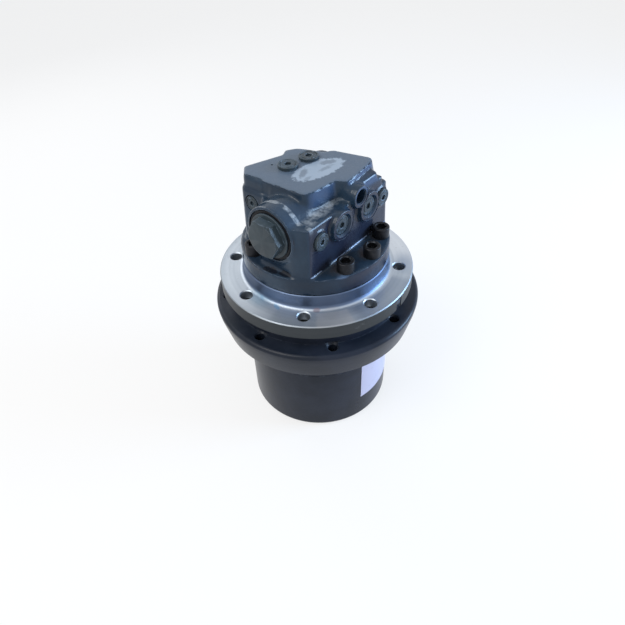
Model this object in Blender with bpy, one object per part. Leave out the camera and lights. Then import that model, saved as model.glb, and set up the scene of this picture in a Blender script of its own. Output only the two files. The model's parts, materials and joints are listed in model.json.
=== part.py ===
"""Travel motor and final drive of a small tracked excavator, as an assembly of separate pieces.

Metres, +Z up. The drive stands on its cover end: Z is the axis on which the hub turns and z = 0 is
the end face of the hub. The hydraulic motor and its valve block are at the top. The ports look
along -Y and the two spool caps along -X and +X.
"""
import math

import bmesh
import bpy
from mathutils import Matrix, Vector

for item in list(bpy.data.objects):
    bpy.data.objects.remove(item, do_unlink=True)

TAU = 2 * math.pi

# Clearances and mesh quality
GAP = 0.0003
OVERRUN = 0.002
MERGE = 0.00001
SHARP_ANGLE = math.radians(32)
FINE = 36
ROUND = 24
INNER = 18
SMALL = 12
TINY = 8
FLAT = 6
CORNER_SIDE_SHARE = 0.45

# Motor room and bearing seats inside the spindle
MOTOR_ROOM_R = 0.046
BRAKE_ROOM_WALL = 0.012
DISC_ROOM_STEP = 0.004
BRAKE_ROOM_H = 0.022
DISC_ROOM_H = 0.010
MOTOR_ROOM_H = 0.052
FRONT_BEARING_T = 0.0126
FRONT_BEARING_H = 0.016
SHAFT_SEAL_T = 0.0066
SHAFT_SEAL_H = 0.009
SPINDLE_THROAT_GAP = 0.0011
SEAT_WALL = 0.014
SHOULDER_STEP = 0.006
SHOULDER_ABOVE_END = 0.0693
BEARING_W = 0.0157
BEARING_T = 0.0157
BEARING_SPACE = 0.0102
CONE_T = 0.0046
CUP_T = 0.0046
ROLLER_R = 0.0025
ROLLER_L = 0.0120
ROLLERS = 12
ROLLER_FACE_SHARES = (-0.5, 0.5)
CAGE_T = 0.0016
NUT_T = 0.008
NUT_H = 0.010
NUT_SLOTS = 4
NUT_SLOT_W = 0.007
POST_R = 0.0075
POST_STUB_R = 0.0050

# Seal between spindle and hub
SEAL_ROOM_DEPTH = 0.0063
SEAL_OFFSET = 0.0032
SEAL_TAIL_T = 0.0050
SEAL_LIP_W = 0.0035
SEAL_LIP_T = 0.0031
SEAL_ROOM_CLEARANCE = 0.0033
SEAL_CORD_SIDES = 6

# Frame flange and spigot of the spindle
SEAL_ROOM_TO_FRAME = 0.0169
FRAME_FLANGE_STEP = 0.0095
FRAME_FLANGE_T = 0.0168
FRAME_FLANGE_CHAMFER = 0.001
FRAME_HOLE_INSET = 0.0155
FRAME_HOLE_R = 0.00675
FRAME_HOLES = 8
FRAME_HOLE_PHASE = math.radians(-13.3)
RIM_NOTCH_ANGLE = math.radians(-87)
RIM_NOTCH_W = 0.009
RIM_NOTCH_DEPTH = 0.0045
RIM_NOTCH_BELOW = 0.0035
SPIGOT_INSET = 0.0115
SPIGOT_H = 0.017
SPIGOT_FILLET = 0.005

# Hub and its sprocket flange
HUB_WALL = 0.0087
HUB_FOOT_ROUND = 0.006
HUB_LIP_T = 0.0043
HUB_NECK_WALL = 0.0072
HUB_NECK_FOOT = 0.0020
HUB_NECK_GAP = 0.0027
HUB_NECK_H = 0.0150
SPROCKET_T = 0.0355
SPROCKET_RIM_DROP = 0.0100
SPROCKET_LAND_W = 0.0100
SPROCKET_RIM_ROUND = 0.0065
SPROCKET_RIM_SLOPE = 0.0070
SPROCKET_FILLET = 0.005
SPROCKET_HOLE_INSET = 0.0140
SPROCKET_HOLE_R = 0.0051
SPROCKET_HOLE_MOUTH_R = 0.0064
SPROCKET_ROUND_SHARES = ((0.16, 0.55), (0.5, 0.18))
SPROCKET_HOLES = 8
SPROCKET_HOLE_PHASE = math.radians(3.5)

# End cover and its snap ring
COVER_BORE_STEP = 0.0009
RING_GROOVE_DEPTH = 0.0024
RING_GROOVE_Z = 0.0034
RING_GROOVE_H = 0.0026
SNAP_RING_GAP = math.radians(24)
SNAP_RING_INSET = 0.0037
COVER_T = 0.0104
COVER_RIB_OUT = 0.00475
COVER_RIB_IN = 0.00725
COVER_BUTTON_R = 0.009
COVER_RELIEF_R = 0.030
COVER_RELIEF_DEPTH = 0.0015
COVER_PLUG_INSET = 0.0252
COVER_PLUG_ANGLES = (math.radians(40), math.radians(220))

# Gears: one ring gear serves both planetary stages
RING_WALL = 0.0088
RING_TEETH = 54
SUN_1_TEETH = 12
PLANET_1_TEETH = 21
SUN_2_TEETH = 18
PLANET_2_TEETH = 18
PLANETS = 3
PRESSURE_ANGLE = math.radians(20)
ADDENDUM_SHARE = 0.86
DEDENDUM_SHARE = 1.22
BACKLASH = 0.00042
RING_LIFT = 0.0030
RING_OVER = 0.0020
STAGE_1_LIFT = 0.0040
STAGE_1_H = 0.0190
STAGE_2_H = 0.0260
STAGE_CLEARANCE = 0.0005
CARRIER_LIFT = 0.0020
CARRIER_T = 0.0090
CARRIER_EDGE = 0.01075
CARRIER_WAIST_SHARE = 0.80
CARRIER_POINTS = 8
SUN_SHAFT_R = 0.0078
SUN_SHAFT_GRIP = 0.0120
SUN_2_BORE_R = 0.0105
SUN_2_TAIL_R = 0.0130
RETAINER_T = 0.0037
RETAINER_LIFT = 0.0032
RETAINER_OUT = 0.0110
RETAINER_IN = 0.0150

# Motor
SHAFT_SOCKET_DEPTH = 0.0140
SHAFT_END_LIFT = 0.0020
SHAFT_WALL = 0.0060
SHAFT_LOW_STEP = 0.0006
SHAFT_TAIL_STEP = 0.0033
SHAFT_TAIL_L = 0.0170
SHAFT_TAIL_DROP = 0.0010
SWASH_INSET = 0.0020
SWASH_T = 0.0161
SWASH_BORE_GAP = 0.0041
PISTONS = 9
PISTON_CIRCLE_SHARE = 0.5435
PISTON_SHARE = 0.1348
PISTON_STROKE_Z = 0.0250
SHOE_STEP = 0.0020
SHOE_T = 0.0040
PLATE_T = 0.0023
PLATE_OUT = 0.0100
CYLINDER_WALL = 0.0058
CYLINDER_LIFT = 0.0340
CYLINDER_BORE_H = 0.0350
KIDNEY_W = 0.0075
KIDNEY_SPAN = math.radians(124)
KIDNEY_POINTS = 6
FRONT_ROLLERS = 10
VALVE_PLATE_T = 0.0047
FRICTION_DISC_T = 0.0037
BRAKE_PISTON_IN = 0.0050
BRAKE_PISTON_H = 0.0160
BRAKE_SPRING_OUT = 0.0025
BRAKE_SPRING_IN = 0.0010
BRAKE_SPRING_T = 0.0022
NEEDLE_T = 0.0030
NEEDLE_H = 0.0140

# Valve block
BASE_INSET = 0.0005
BASE_T = 0.0190
BASE_ROUND = 0.0020
BODY_INSET = 0.0125
BODY_RIGHT_STEP = 0.0020
BODY_STEP_W = 0.0195
BODY_STEP_Y = 0.0190
BODY_TO_SCREWS = 0.0155
BODY_CORNER = 0.014
BODY_TIGHT_CORNER = 0.006
BODY_H = 0.0607
BODY_ROUND = 0.0055
BODY_LOW_W = 0.0100
BODY_LOW_L = 0.0240
BODY_LOW_DEPTH = 0.0095
COLUMN_OUT_Y = 0.0180
COLUMN_BEVEL_W = 0.0155
COLUMN_BEVEL_L = 0.0095
COLUMN_W = 0.0310
COLUMN_FOOT_W = 0.0360
COLUMN_RIGHT_Y = 0.0080
CROWN_H = 0.0150
CROWN_ROUND = 0.0022
CROWN_CORNER = 0.0050
CROWN_INSET = 0.0205
CROWN_SHARES = (
    (-0.68, -0.36), (-0.74, 0.44), (-0.70, 0.52), (-0.76, 0.86), (-0.56, 1.05), (0.14, 0.80),
    (0.29, 0.88), (0.47, 0.76), (0.55, 0.58), (0.64, 0.29), (0.79, 0.20), (0.96, -0.50), (0.86, -0.59),
    (0.34, -0.66), (0.06, -0.68), (-0.03, -0.50), (-0.55, -0.44),
)
PAD_H = 0.0080
PAD_LEFT_STEP = 0.0115
PAD_RIGHT_INSET = 0.0160
PAD_DEPTH = 0.020
PAD_SETBACK = 0.0008

# Main ports, drain port and gauge ports, all in the port face
PORT_DROP = 0.0205
PORT_A_INSET = 0.0315
PORT_B_INSET = 0.0257
PORT_BOSS_R = 0.0160
PORT_BOSS_H = 0.0055
PORT_BORE_R = 0.0105
PORT_MOUTH_R = 0.0124
PORT_BORE_DEPTH = 0.0240
DRAIN_TO_PORT = 0.0150
DRAIN_DROP = 0.0025
DRAIN_BOSS_R = 0.0118
DRAIN_BOSS_H = 0.0050
DRAIN_BORE_R = 0.0074
DRAIN_MOUTH_R = 0.0087
DRAIN_DEPTH = 0.0200
GAUGE_DROP = 0.0228
GAUGE_LEFT_INSET = 0.0200
GAUGE_RIGHT_INSET = 0.0128
GAUGE_BOSS_R = 0.0110
GAUGE_BOSS_H = 0.0008
GAUGE_BORE_R = 0.0060
GAUGE_DEPTH = 0.0130
SIDE_PLUG_INSET = 0.0050
SIDE_PLUG_DROP = 0.0135
SIDE_PLUG_BORE_R = 0.0055
SIDE_SEAT_R = 0.0092
SIDE_SEAT_DEPTH = 0.0030

# Plugs
PLUG_HEAD_T = 0.0034
PORT_PLUG_STEP = 0.0010
PORT_PLUG_DEEP = 0.0020
PORT_PLUG_H = 0.0140
GAUGE_PLUG_R = 0.0092
SIDE_PLUG_R = 0.0080
TOP_PLUG_R = 0.0106
TOP_PLUG_PLACES = ((-0.0085, 0.0255), (0.0180, 0.0205))
TOP_PLUG_BORE_R = 0.0075
TOP_PLUG_DEPTH = 0.0160
COVER_PLUG_R = 0.0100
COVER_PLUG_SHANK_R = 0.0070
SOCKET_AF_SHARE = 0.62
SOCKET_DEPTH_SHARE = 0.75

# Counterbalance spool, its springs and caps
SPOOL_Y = -0.0045
SPOOL_DROP = 0.0210
SPOOL_BORE_R = 0.0100
SPOOL_FIT = 0.0002
SPOOL_INSET = 0.0380
SPOOL_GROOVE_DEPTH = 0.0028
SPOOL_GROOVE_W = 0.0110
SPOOL_GROOVES = (-0.0150, 0.0150)
SPOOL_STUB_R = 0.0055
SPOOL_STUB_L = 0.0060
CAP_BOSS_R = 0.0300
CAP_BOSS_H = 0.0020
CAP_THREAD_R = 0.0205
CAP_THREAD_L = 0.0200
CAP_COLLAR_W = 0.0060
CAP_COLLAR_T = 0.0045
CAP_HEX_AF = 0.0430
CAP_HEX_T = 0.0125
CAP_CHAMFER = 0.0020
CAP_BORE_R = 0.0115
CAP_BORE_L = 0.0325
END_PLUG_HEAD_R = 0.0155
END_PLUG_R = 0.0125
END_PLUG_BORE_R = 0.0100
END_PLUG_T = 0.0035
END_PLUG_L = 0.0160
END_PLUG_SOCKET_AF = 0.0120
END_PLUG_SOCKET_DEPTH = 0.0030
SPRING_R = 0.0080
SPRING_WIRE_R = 0.0011
SPRING_TURNS = 4
SPRING_STEPS = 8

# Block screws
SCREW_INSET = 0.0100
SCREW_ANGLES = tuple(math.radians(a) for a in (-115, -85, -55, 65, 95, 155))
SCREW_HEAD_R = 0.0090
SCREW_HEAD_H = 0.0120
SCREW_R = 0.0060
SCREW_L = 0.0400
SCREW_SOCKET_AF = 0.0100
SCREW_SOCKET_DEPTH = 0.0060
SCREW_CHAMFER = 0.0010

# Radii that follow from the motor room outwards
PISTON_CIRCLE_R = MOTOR_ROOM_R * PISTON_CIRCLE_SHARE
PISTON_R = MOTOR_ROOM_R * PISTON_SHARE
SHOE_R = PISTON_R + SHOE_STEP
PLATE_R = PISTON_CIRCLE_R + PLATE_OUT
CYLINDER_R = PISTON_CIRCLE_R + PISTON_R + CYLINDER_WALL
SHAFT_R = PISTON_CIRCLE_R - PISTON_R - SHAFT_WALL
SHAFT_LOW_R = SHAFT_R + SHAFT_LOW_STEP
SHAFT_TAIL_R = SHAFT_R - SHAFT_TAIL_STEP
SWASH_BORE_R = SHAFT_LOW_R + SWASH_BORE_GAP
FRONT_BEARING_R = SHAFT_LOW_R + FRONT_BEARING_T
SHAFT_SEAL_R = SHAFT_LOW_R + SHAFT_SEAL_T
SPINDLE_THROAT_R = SHAFT_LOW_R + SPINDLE_THROAT_GAP
BRAKE_ROOM_R = MOTOR_ROOM_R + BRAKE_ROOM_WALL
DISC_ROOM_R = BRAKE_ROOM_R - DISC_ROOM_STEP
SEAT_R = MOTOR_ROOM_R + SEAT_WALL
SHOULDER_R = SEAT_R + SHOULDER_STEP
NUT_R = SEAT_R + NUT_T
BEARING_OUTER_R = SEAT_R + GAP + BEARING_T
HUB_BORE_R = BEARING_OUTER_R + GAP
HUB_LIP_R = HUB_BORE_R - HUB_LIP_T
HUB_R = HUB_BORE_R + HUB_WALL
COVER_BORE_R = HUB_BORE_R + COVER_BORE_STEP
RING_GROOVE_R = COVER_BORE_R + RING_GROOVE_DEPTH
SNAP_RING_INNER_R = COVER_BORE_R - SNAP_RING_INSET
SEAL_INNER_R = HUB_BORE_R + SEAL_OFFSET
SEAL_TAIL_R = SEAL_INNER_R + SEAL_TAIL_T
SEAL_LIP_R = SEAL_TAIL_R + SEAL_LIP_W
SEAL_ROOM_R = SEAL_LIP_R + SEAL_ROOM_CLEARANCE
HUB_NECK_R = SEAL_ROOM_R + HUB_NECK_WALL
HUB_NECK_ROOT_R = HUB_NECK_R + HUB_NECK_FOOT
SPROCKET_TOP_R = HUB_NECK_ROOT_R + SPROCKET_LAND_W
SPROCKET_RIM_R = SPROCKET_TOP_R + SPROCKET_RIM_ROUND
SPROCKET_ROOT_R = SPROCKET_RIM_R - SPROCKET_RIM_SLOPE
SPROCKET_CIRCLE_R = SPROCKET_RIM_R - SPROCKET_HOLE_INSET
FRAME_FLANGE_R = HUB_NECK_R + FRAME_FLANGE_STEP
FRAME_CIRCLE_R = FRAME_FLANGE_R - FRAME_HOLE_INSET
SPIGOT_R = FRAME_CIRCLE_R - SPIGOT_INSET
BASE_R = SPIGOT_R - BASE_INSET
SCREW_CIRCLE_R = BASE_R - SCREW_INSET
RING_PITCH_R = HUB_BORE_R - RING_WALL
MODULE = 2 * RING_PITCH_R / RING_TEETH
PITCH_1_R = MODULE * (SUN_1_TEETH + PLANET_1_TEETH) / 2
PITCH_2_R = MODULE * (SUN_2_TEETH + PLANET_2_TEETH) / 2
PLANET_BORE_R = POST_R + 2 * GAP
CARRIER_R = PITCH_1_R + CARRIER_EDGE
COVER_RIB_R = PITCH_1_R + COVER_RIB_OUT
COVER_RIB_INNER_R = PITCH_1_R - COVER_RIB_IN
COVER_CIRCLE_R = COVER_BORE_R - COVER_PLUG_INSET
RETAINER_R = PITCH_2_R + RETAINER_OUT
RETAINER_BORE_R = PITCH_2_R - RETAINER_IN
SWASH_R = MOTOR_ROOM_R - SWASH_INSET
BRAKE_PISTON_INNER_R = CYLINDER_R + BRAKE_PISTON_IN
BRAKE_SPRING_R = BRAKE_ROOM_R - BRAKE_SPRING_OUT
BRAKE_SPRING_INNER_R = BRAKE_PISTON_INNER_R + BRAKE_SPRING_IN
PORT_PLUG_R = PORT_BORE_R - GAP
SPOOL_R = SPOOL_BORE_R - SPOOL_FIT
SPOOL_GROOVE_R = SPOOL_R - SPOOL_GROOVE_DEPTH
CAP_COLLAR_R = CAP_THREAD_R + CAP_COLLAR_W

# Heights that follow from the end of the hub upwards
COVER_Z = RING_GROOVE_Z + RING_GROOVE_H + GAP
COVER_SEAT_Z = COVER_Z + COVER_T + GAP
RING_Z = COVER_SEAT_Z + RING_LIFT
STAGE_1_Z = RING_Z + STAGE_1_LIFT
CARRIER_Z = STAGE_1_Z + STAGE_1_H + CARRIER_LIFT
STAGE_2_Z = CARRIER_Z + CARRIER_T + RETAINER_LIFT + RETAINER_T + 2 * GAP
SPINDLE_END_Z = STAGE_2_Z + STAGE_2_H + STAGE_CLEARANCE
RING_H = SPINDLE_END_Z + RING_OVER - RING_Z
SHAFT_BOTTOM_Z = SPINDLE_END_Z + SHAFT_END_LIFT
SUN_SHAFT_TOP_Z = SHAFT_BOTTOM_Z + SUN_SHAFT_GRIP
SHOULDER_Z = SPINDLE_END_Z + SHOULDER_ABOVE_END
FRAME_BACK_Z = SHOULDER_Z + SEAL_ROOM_TO_FRAME
FRAME_FACE_Z = FRAME_BACK_Z + FRAME_FLANGE_T
SPIGOT_Z = FRAME_FACE_Z + SPIGOT_H
HUB_NECK_TOP_Z = FRAME_BACK_Z - HUB_NECK_GAP
SPROCKET_TOP_Z = HUB_NECK_TOP_Z - HUB_NECK_H
SPROCKET_FACE_Z = SPROCKET_TOP_Z - SPROCKET_T
SPROCKET_RIM_Z = SPROCKET_TOP_Z - SPROCKET_RIM_DROP
BRAKE_FLOOR_Z = SPIGOT_Z - BRAKE_ROOM_H
DISC_FLOOR_Z = BRAKE_FLOOR_Z - DISC_ROOM_H
MOTOR_FLOOR_Z = DISC_FLOOR_Z - MOTOR_ROOM_H
FRONT_BEARING_Z = MOTOR_FLOOR_Z - FRONT_BEARING_H
SHAFT_SEAL_Z = FRONT_BEARING_Z - SHAFT_SEAL_H
SEAL_ROOM_Z = FRAME_BACK_Z + SEAL_ROOM_DEPTH
UPPER_BEARING_Z = SHOULDER_Z - GAP - BEARING_W
HUB_LIP_TOP_Z = UPPER_BEARING_Z - GAP
HUB_LIP_Z = HUB_LIP_TOP_Z - BEARING_SPACE
LOWER_BEARING_Z = HUB_LIP_Z - GAP - BEARING_W
NUT_Z = LOWER_BEARING_Z - GAP - NUT_H
SEAL_PLANE_Z = (SEAL_ROOM_Z + SHOULDER_Z) / 2
SHAFT_TAIL_Z = SPIGOT_Z - SHAFT_TAIL_DROP
SHAFT_TOP_Z = SHAFT_TAIL_Z + SHAFT_TAIL_L
VALVE_PLATE_Z = SPIGOT_Z - VALVE_PLATE_T
CYLINDER_TOP_Z = VALVE_PLATE_Z - GAP
CYLINDER_Z = MOTOR_FLOOR_Z + CYLINDER_LIFT
SWASH_Z = MOTOR_FLOOR_Z + GAP
SHOE_Z = SWASH_Z + SWASH_T + GAP
FRICTION_DISC_Z = DISC_FLOOR_Z + GAP
BRAKE_PISTON_Z = FRICTION_DISC_Z + FRICTION_DISC_T + GAP
BRAKE_SPRING_Z = BRAKE_PISTON_Z + BRAKE_PISTON_H + GAP
BASE_Z = SPIGOT_Z + GAP
LEDGE_Z = BASE_Z + BASE_T
BODY_TOP_Z = LEDGE_Z + BODY_H
BLOCK_TOP_Z = BODY_TOP_Z + CROWN_H
PAD_TOP_Z = BODY_TOP_Z + PAD_H
PORT_Z = BODY_TOP_Z - PORT_DROP
DRAIN_Z = BODY_TOP_Z - DRAIN_DROP
GAUGE_Z = BODY_TOP_Z - GAUGE_DROP
SIDE_PLUG_Z = BODY_TOP_Z - SIDE_PLUG_DROP
SPOOL_Z = BODY_TOP_Z - SPOOL_DROP

# Plan of the valve block
BODY_HALF_Y = SCREW_CIRCLE_R - SCREW_HEAD_R - BODY_TO_SCREWS
BODY_LEFT_X = BODY_INSET - BASE_R
BODY_RIGHT_X = -BODY_LEFT_X - BODY_RIGHT_STEP
BODY_STEP_X = BODY_LEFT_X + BODY_STEP_W
PORT_FACE_Y = -BODY_HALF_Y
BODY_BACK_Y = BODY_HALF_Y
SIDE_PLUG_Y = BODY_BACK_Y - SIDE_PLUG_INSET
CROWN_L = BASE_R - CROWN_INSET
GAUGE_X = (BODY_LEFT_X + GAUGE_LEFT_INSET, BODY_RIGHT_X - GAUGE_RIGHT_INSET)
PORT_A_X = GAUGE_X[0] + PORT_A_INSET
PORT_B_X = GAUGE_X[1] - PORT_B_INSET
DRAIN_X = PORT_B_X - DRAIN_TO_PORT
PAD_LEFT_X = DRAIN_X - PAD_LEFT_STEP
PAD_RIGHT_X = BODY_RIGHT_X - PAD_RIGHT_INSET
CAP_BOSS_X = CAP_BOSS_H - BODY_LEFT_X
CAP_COLLAR_X = CAP_BOSS_X + GAP
SPOOL_LENGTH = 2 * (CAP_BOSS_X - SPOOL_INSET)
SPRING_END_X = SPOOL_LENGTH / 2 + CAP_BORE_L - SPRING_WIRE_R - GAP
COLUMN_BACK_Y = BODY_BACK_Y + COLUMN_OUT_Y
BODY_LOW_X = BODY_RIGHT_X - BODY_LOW_W
BODY_LOW_Y = PORT_FACE_Y + BODY_LOW_L

# Colour, roughness and metallic value of each finish
FINISHES = {
    "block_paint": ((0.085, 0.105, 0.130), 0.38, 0.0),
    "hub_paint": ((0.050, 0.055, 0.065), 0.42, 0.0),
    "turned_steel": ((0.62, 0.63, 0.65), 0.32, 1.0),
    "ground_steel": ((0.52, 0.53, 0.55), 0.22, 1.0),
    "gear_steel": ((0.34, 0.34, 0.35), 0.36, 1.0),
    "black_oxide": ((0.055, 0.052, 0.050), 0.45, 0.6),
    "plug_paint": ((0.16, 0.18, 0.20), 0.40, 0.0),
    "bronze": ((0.55, 0.38, 0.18), 0.35, 1.0),
    "rubber": ((0.02, 0.02, 0.02), 0.70, 0.0),
    "spring_steel": ((0.30, 0.30, 0.31), 0.34, 1.0),
}


def finish(name):
    """Material of one named finish, made on first use."""
    known = bpy.data.materials.get(name)
    if known:
        return known
    colour, roughness, metallic = FINISHES[name]
    material = bpy.data.materials.new(name)
    material.use_nodes = True
    shader = material.node_tree.nodes["Principled BSDF"]
    shader.inputs["Base Color"].default_value = (*colour, 1)
    shader.inputs["Roughness"].default_value = roughness
    shader.inputs["Metallic"].default_value = metallic
    return material


def add_object(name, shape, finish_name="turned_steel"):
    """New object from a bmesh, shaded smooth with sharp edges kept."""
    bmesh.ops.remove_doubles(shape, verts=shape.verts, dist=MERGE)
    bmesh.ops.recalc_face_normals(shape, faces=shape.faces)
    mesh = bpy.data.meshes.new(name)
    shape.to_mesh(mesh)
    shape.free()
    mesh.shade_smooth()
    mesh.set_sharp_from_angle(angle=SHARP_ANGLE)
    piece = bpy.data.objects.new(name, mesh)
    bpy.context.scene.collection.objects.link(piece)
    mesh.materials.append(finish(finish_name))
    return piece


def turned(name, outline, finish_name="turned_steel", steps=ROUND, closed=True):
    """Turn an outline of (radius, height) points about Z; an open one starts and ends on the axis."""
    shape = bmesh.new()
    verts = [shape.verts.new((radius, 0, height)) for radius, height in outline]
    edges = [shape.edges.new(pair) for pair in zip(verts, verts[1:])]
    if closed:
        edges.append(shape.edges.new((verts[-1], verts[0])))
    bmesh.ops.spin(shape, geom=verts + edges, cent=(0, 0, 0), axis=(0, 0, 1), angle=TAU,
                   steps=steps, use_merge=True)
    return add_object(name, shape, finish_name)


def prism(name, outline, bottom, height, finish_name="turned_steel"):
    """Solid with a flat outline of (x, y) points, from bottom up by height."""
    shape = bmesh.new()
    verts = [shape.verts.new((x, y, bottom)) for x, y in outline]
    face = shape.faces.new(verts)
    raised = bmesh.ops.extrude_face_region(shape, geom=[face])["geom"]
    top = [item for item in raised if isinstance(item, bmesh.types.BMVert)]
    bmesh.ops.translate(shape, verts=top, vec=(0, 0, height))
    return add_object(name, shape, finish_name)


def rod(name, radius, bottom, height, place=(0, 0), steps=SMALL, finish_name="turned_steel"):
    """Upright round bar with its foot at bottom."""
    outline = [(place[0] + radius * math.cos(TAU * k / steps), place[1] + radius * math.sin(TAU * k / steps))
               for k in range(steps)]
    return prism(name, outline, bottom, height, finish_name)


def aim(piece, place, direction):
    """Carry a piece built along +Z so that it starts at place and points along direction."""
    turn = Vector((0, 0, 1)).rotation_difference(Vector(direction)).to_matrix().to_4x4()
    piece.data.transform(Matrix.Translation(place) @ turn)
    return piece


def combine(target, tool, operation):
    """Boolean of two objects; the result stays in target and the tool is removed."""
    step = target.modifiers.new(operation.lower(), "BOOLEAN")
    step.operation = operation
    step.object = tool
    bpy.context.view_layer.update()
    view = bpy.context.evaluated_depsgraph_get()
    result = bpy.data.meshes.new_from_object(target.evaluated_get(view))
    target.modifiers.clear()
    target.data = result
    bpy.data.objects.remove(tool, do_unlink=True)
    shape = bmesh.new()
    shape.from_mesh(result)
    bmesh.ops.remove_doubles(shape, verts=shape.verts, dist=MERGE)
    bmesh.ops.dissolve_degenerate(shape, edges=shape.edges, dist=MERGE)
    shape.to_mesh(result)
    shape.free()
    result.shade_smooth()
    result.set_sharp_from_angle(angle=SHARP_ANGLE)
    return target


def cut(target, tool):
    """Take the tool's shape out of the target."""
    return combine(target, tool, "DIFFERENCE")


def join(target, tool):
    """Add the tool's shape to the target as one solid."""
    return combine(target, tool, "UNION")


def polar(radius, angle):
    """Point at a radius and angle about Z."""
    return (radius * math.cos(angle), radius * math.sin(angle))


def rounded(corners, radii, steps=4):
    """Closed outline with every corner turned into an arc that fits inside the halves of its sides."""
    points = []
    count = len(corners)
    for k, radius in enumerate(radii):
        corner = Vector(corners[k])
        before = Vector(corners[k - 1]) - corner
        after = Vector(corners[(k + 1) % count]) - corner
        half = before.angle(after) / 2
        reach = min(radius / math.tan(half), before.length * CORNER_SIDE_SHARE,
                    after.length * CORNER_SIDE_SHARE)
        arc_radius = reach * math.tan(half)
        inward = (before.normalized() + after.normalized()).normalized()
        middle = corner + inward * arc_radius / math.sin(half)
        start = corner + before.normalized() * reach - middle
        end = corner + after.normalized() * reach - middle
        sweep = start.angle_signed(end)
        for step in range(steps + 1):
            angle = -sweep * step / steps
            spoke = Vector((start.x * math.cos(angle) - start.y * math.sin(angle),
                            start.x * math.sin(angle) + start.y * math.cos(angle)))
            points.append(tuple(middle + spoke))
    return points


def soften(piece, width, segments, top_only=0.0):
    """Round the horizontal edges of the faces that lie above a height."""
    shape = bmesh.new()
    shape.from_mesh(piece.data)
    flat = [face for face in shape.faces if abs(face.normal.z) > math.cos(SHARP_ANGLE)]
    faces = [face for face in flat if face.calc_center_median().z > top_only]
    edges = [edge for edge in shape.edges if any(face in faces for face in edge.link_faces)]
    bmesh.ops.bevel(shape, geom=edges, offset=width, segments=segments, profile=0.5, affect="EDGES",
                    clamp_overlap=True, material=-1)
    shape.to_mesh(piece.data)
    shape.free()
    piece.data.shade_smooth()
    piece.data.set_sharp_from_angle(angle=SHARP_ANGLE)
    return piece


def hexagon(across_flats, turn=0.0):
    """Six corners of a hexagon given its size across flats."""
    corner = across_flats / 2 / math.cos(TAU / 12)
    return [polar(corner, turn + TAU * k / 6) for k in range(6)]


def arc_profile(centre, radius, start, end, steps=2):
    """Points of an arc in a turned outline, from one angle to another."""
    return [(centre[0] + radius * math.cos(start + (end - start) * k / steps),
             centre[1] + radius * math.sin(start + (end - start) * k / steps)) for k in range(steps + 1)]


def involute_half_angle(radius, base_radius, pitch_radius, teeth, thinning):
    """Half the angle that a tooth covers at a radius."""
    def roll(r):
        slope = math.acos(min(1, base_radius / r))
        return math.tan(slope) - slope
    half_pitch = TAU / teeth / 4 - thinning / pitch_radius / 2
    return half_pitch + roll(pitch_radius) - roll(max(radius, base_radius))


def gear_outline(teeth, turn, tip_share=ADDENDUM_SHARE, root_share=DEDENDUM_SHARE, thinning=BACKLASH / 2):
    """Outline of an external gear with involute flanks; one tooth is centred on the turn angle."""
    pitch = MODULE * teeth / 2
    base = pitch * math.cos(PRESSURE_ANGLE)
    root = pitch - MODULE * root_share
    tip = pitch + MODULE * tip_share
    flank = [(r, involute_half_angle(r, base, pitch, teeth, thinning)) for r in (root, tip)]
    points = []
    for tooth in range(teeth):
        middle = turn + TAU * tooth / teeth
        points += [polar(r, middle - half) for r, half in flank]
        points += [polar(r, middle + half) for r, half in reversed(flank)]
    return points


def gear(name, teeth, turn, bottom, height, bore):
    """External gear with a round bore."""
    piece = prism(name, gear_outline(teeth, turn), bottom, height, "gear_steel")
    return cut(piece, rod("gear_bore", bore, bottom - OVERRUN, height + 2 * OVERRUN, steps=SMALL))


def planet_turn(centre_angle, teeth):
    """Turn that puts a planet's tooth into the ring gear's space at the planet's place."""
    return centre_angle * (1 - RING_TEETH / teeth)


def sun_turn(teeth, planet_teeth):
    """Turn of a sun that meets planets standing in the ring gear's spaces."""
    return 0 if planet_teeth % 2 else math.pi / teeth


def frame_hole_places():
    """Centres of the bolt holes in the frame flange."""
    return [polar(FRAME_CIRCLE_R, FRAME_HOLE_PHASE + TAU * k / FRAME_HOLES) for k in range(FRAME_HOLES)]


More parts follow.
